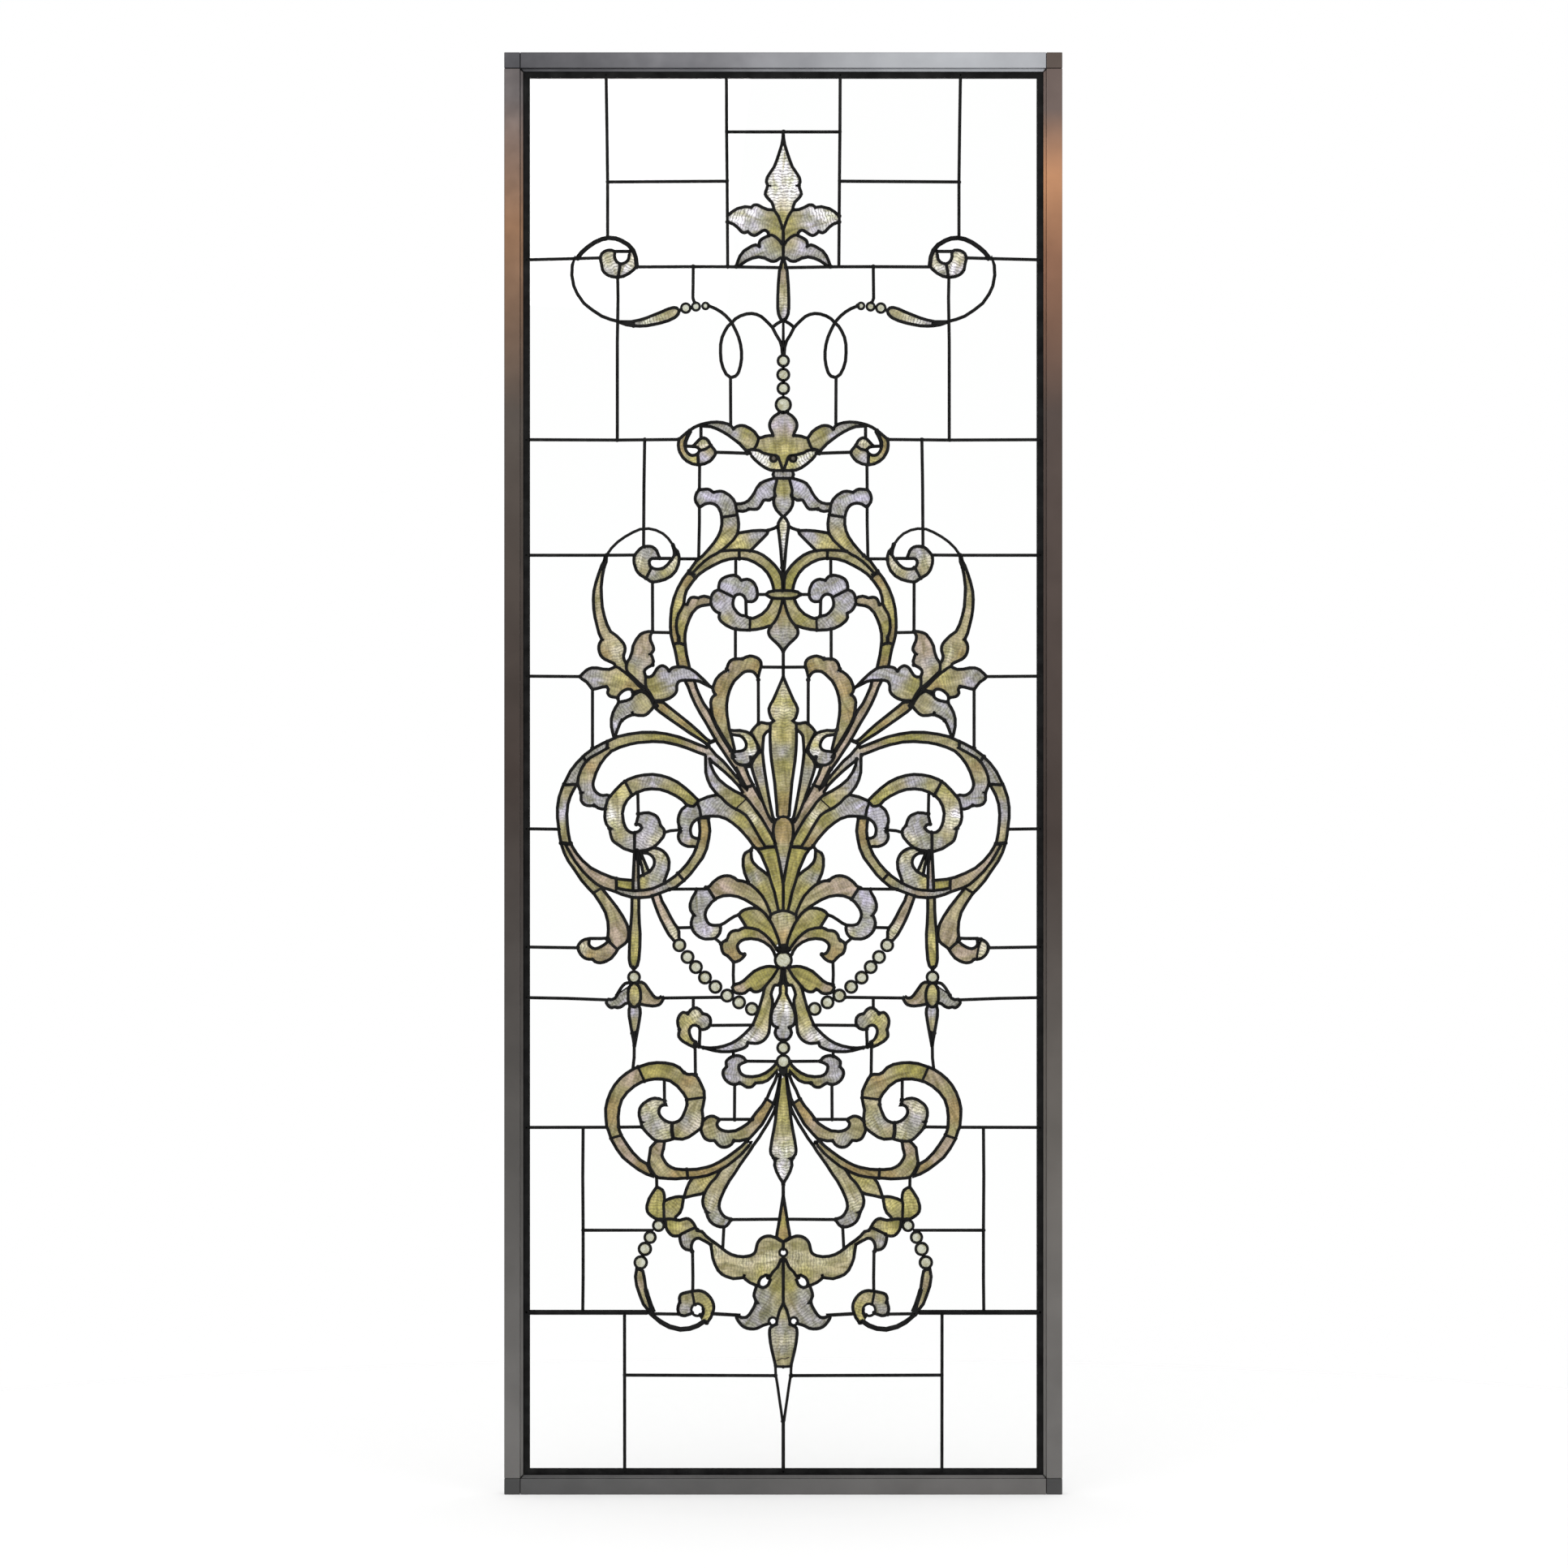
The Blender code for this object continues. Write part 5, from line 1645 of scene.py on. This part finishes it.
def rippled(source, outline, tinted, tuck, spacing, height, seed):
    """Adds a pane whose front is rippled across its length to source."""
    edge = grown(outline, tuck)
    axis = long_axis([*sampled(outline + outline[:1], AXIS_STEP)])
    across = Vector((-axis.y, axis.x))
    low = Vector((min(p.x for p in edge), min(p.y for p in edge)))
    high = Vector((max(p.x for p in edge), max(p.y for p in edge)))
    loose = []
    for row in range(int((high.y - low.y) / spacing / ROW_STEP) + 1):
        for column in range(int((high.x - low.x) / spacing) + 2):
            loose.append(low + Vector(((column + row % 2 / 2) * spacing, row * spacing * ROW_STEP)))
    loose = [point for point in loose if holds(outline, point)]
    points, faces, holders = divided([edge], loose)
    faces = [face for face, inside in zip(faces, holders) if inside]
    rim = {i for pair in rim_of(faces) for i in pair}
    part = bmesh.new()
    tint_layer = part.verts.layers.float_color.new("tint")
    ripple_layer = part.loops.layers.uv.new("Ripple")
    verts = {}
    for i in sorted({i for face in faces for i in face}):
        p = points[i]
        wander = noise.noise((p.x * WANDERS, p.y * WANDERS, seed)) * RIPPLE_WANDER
        rise = 0 if i in rim else height * math.sin((p.dot(axis) + wander) * 2 * math.pi / RIPPLE_STEP)
        verts[i] = part.verts.new((p.x, -GLASS_DEPTH / 2 - rise, p.y))
    for face in faces:
        part.faces.new([verts[i] for i in face])
    rim_edges = [edge for edge in part.edges if edge.is_boundary]
    at_rim = {vert for edge in rim_edges for vert in edge.verts}
    made = bmesh.ops.extrude_edge_only(part, edges=rim_edges)["geom"]
    bmesh.ops.translate(part, vec=(0, GLASS_DEPTH, 0), verts=of_type(made, bmesh.types.BMVert))
    open_edges = [edge for edge in of_type(made, bmesh.types.BMEdge) if edge.is_boundary]
    bmesh.ops.holes_fill(part, edges=open_edges, sides=0)
    colours = bpy.context.scene.window_colours
    for vert in part.verts:
        here = Vector((vert.co.x, vert.co.z))
        weights = [1 / ((here - point).length + TINT_REACH) ** 3 for point, _ in tinted]
        shares = [(name, weight) for (_, name), weight in zip(tinted, weights)]
        mixed = sum((Vector(getattr(colours, name)) * weight for name, weight in shares), Vector((0, 0, 0)))
        # The share of the ribs' painted highlight and shade, kept in the tint's alpha.
        rib_light = sum(PAINTED_RIB_LIGHT.get(name, FAINT_PAINTED_RIB_LIGHT) * weight for name, weight in shares)
        shade = RIM_SHADE if vert in at_rim else 1
        vert[tint_layer] = (*(mixed * shade / sum(weights)), rib_light / sum(weights))
    for face in part.faces:
        face.smooth = len(face.verts) == 3
        for loop in face.loops:
            here = Vector((loop.vert.co.x, loop.vert.co.z))
            loop[ripple_layer].uv = here.dot(axis) + seed, here.dot(across) + seed
    merge_in(source, part)


class WINDOW_OT_ornament_panes(bpy.types.Operator):
    """Build the rippled panes of the scrolled ornament and the crack in one of them"""
    bl_idname = "window.ornament_panes"
    bl_label = "Ornament panes"

    def execute(self, context):
        sizes = context.scene.window_sizes
        panes = bmesh.new()
        for seed, (outline, tinted) in enumerate(sorted_panes()[1]):
            rippled(panes, outline, tinted, sizes.tuck, sizes.grid, sizes.ripple, seed)
        smooth_sides(panes)
        piece = new_piece("ornament_panes", panes, "opal_glass", *nodes_named("ornament_glass"))
        paint(piece, ornament_finish())
        crack = bmesh.new()
        for _, runs in lines_of(CRACKS, HAIRLINE, (1,)):
            for run in runs:
                strip(crack, HAIRLINE, CRACK_DEPTH, run)
        paint(new_piece("pane_crack", crack, "opal_glass"),
              shader("crack_shadow", Base_Color=(0.03, 0.012, 0.006, 1), Roughness=0.6)[0])
        return {"FINISHED"}


def jewel_finish(name, dark, pale, roughness, clear):
    """Clouded pressed glass."""
    material, tree, principled = shader(name, Roughness=roughness, IOR=1.5, Transmission_Weight=clear)
    colour = ramp(tree, object_noise(tree, 90, 4, Distortion=1.5), (0.35, dark), (0.6, pale))
    tree.links.new(colour, principled.inputs["Base Color"])
    return material


class WINDOW_OT_jewels(bpy.types.Operator):
    """Build the round jewels"""
    bl_idname = "window.jewels"
    bl_label = "Jewels"

    def execute(self, context):
        sizes = context.scene.window_sizes
        pale = jewel_finish("pale_jewel_glass", (0.42, 0.40, 0.24), (0.72, 0.74, 0.62), 0.06, 0.7)
        dark = jewel_finish("dark_jewel_glass", (0.02, 0.015, 0.01), (0.09, 0.075, 0.055), 0.1, 0.2)
        for name, text, finish in (("pale_jewels", JEWELS, pale), ("dark_jewels", DARK_JEWELS, dark)):
            jewels = bmesh.new()
            for x, z, radius in spots(text):
                part = bmesh.new()
                reach = radius * MM - sizes.jewel_came / 2 + sizes.tuck
                place = Matrix.Translation(placed(x, z).to_3d().xzy)
                bmesh.ops.create_uvsphere(part, u_segments=20, v_segments=10, radius=1,
                                          matrix=place @ Matrix.Diagonal((reach, sizes.dome, reach, 1)))
                merge_in(jewels, part)
            smooth_sides(jewels, math.pi)
            paint(new_piece(name, jewels, "opal_glass"), finish)
        return {"FINISHED"}


class WINDOW_OT_stage(bpy.types.Operator):
    """Set up the floor, the lights and the camera"""
    bl_idname = "window.stage"
    bl_label = "Stage"

    def execute(self, context):
        scene = context.scene
        scene.view_settings.view_transform = "Standard"
        scene.world = bpy.data.worlds.new("white_room")
        scene.world.use_nodes = True
        background = scene.world.node_tree.nodes["Background"]
        background.inputs["Color"].default_value = (1, 1, 1, 1)
        background.inputs["Strength"].default_value = 1.0
        ground = bmesh.new()
        bmesh.ops.create_circle(ground, cap_ends=True, segments=64, radius=FLOOR_RADIUS,
                                matrix=Matrix.Translation((0, 0, -0.5 * MM)))
        mesh = bpy.data.meshes.new("floor")
        ground.to_mesh(mesh)
        ground.free()
        floor = bpy.data.objects.new("floor", mesh)
        scene.collection.objects.link(floor)
        material, tree, principled = shader("pale_floor", Base_Color=(1, 1, 1, 1), Roughness=0.8)
        place = node(tree, "ShaderNodeTexCoord").outputs["Object"]
        reach = node(tree, "ShaderNodeVectorMath", ("Vector", place), operation="LENGTH").outputs["Value"]
        fade = node(tree, "ShaderNodeMapRange", ("Value", reach), From_Min=0.3, From_Max=FLOOR_RADIUS,
                    To_Min=0.6, To_Max=0)
        tree.links.new(fade.outputs["Result"], principled.inputs["Alpha"])
        paint(floor, material)
        for name, place, width, height, watts, colour in LIGHTS:
            data = bpy.data.lights.new(name, "AREA")
            data.shape, data.size, data.size_y = "RECTANGLE", width, height
            data.energy, data.color = watts, colour
            light = bpy.data.objects.new(name, data)
            light.location = place
            light.rotation_euler = (Vector((0, 0, 1)) - Vector(place)).to_track_quat("-Z", "Y").to_euler()
            scene.collection.objects.link(light)
        data = bpy.data.cameras.new("camera")
        data.sensor_width, data.lens = 36, 36 * CAMERA_DISTANCE / VIEW_WIDTH
        camera = bpy.data.objects.new("camera", data)
        camera.location = (1 * MM, -CAMERA_DISTANCE, CAMERA_HEIGHT)
        camera.rotation_euler = (math.radians(90), 0, 0)
        scene.collection.objects.link(camera)
        scene.camera = camera
        return {"FINISHED"}


OPERATORS = (WINDOW_OT_frame, WINDOW_OT_cames, WINDOW_OT_clear_panes, WINDOW_OT_ornament_panes,
             WINDOW_OT_jewels, WINDOW_OT_stage)


class WINDOW_PT_panel(bpy.types.Panel):
    """Sizes, colours and steps of the leaded glass window"""
    bl_label = "Leaded glass window"
    bl_idname = "WINDOW_PT_panel"
    bl_space_type = "VIEW_3D"
    bl_region_type = "UI"
    bl_category = "Window"

    def draw(self, context):
        for group in (context.scene.window_sizes, context.scene.window_colours):
            for key in group.bl_rna.properties.keys():
                if key not in ("rna_type", "name"):
                    self.layout.prop(group, key)
        for operator in OPERATORS:
            self.layout.operator(operator.bl_idname)


CLASSES = (WindowSizes, WindowColours, *OPERATORS, WINDOW_PT_panel)


def register():
    for cls in CLASSES:
        bpy.utils.register_class(cls)
    bpy.types.Scene.window_sizes = PointerProperty(type=WindowSizes)
    bpy.types.Scene.window_colours = PointerProperty(type=WindowColours)


def unregister():
    del bpy.types.Scene.window_colours
    del bpy.types.Scene.window_sizes
    for cls in reversed(CLASSES):
        bpy.utils.unregister_class(cls)


def main():
    register()
    for operator in OPERATORS:
        group, name = operator.bl_idname.split(".")
        getattr(getattr(bpy.ops, group), name)()


if __name__ == "__main__":
    main()
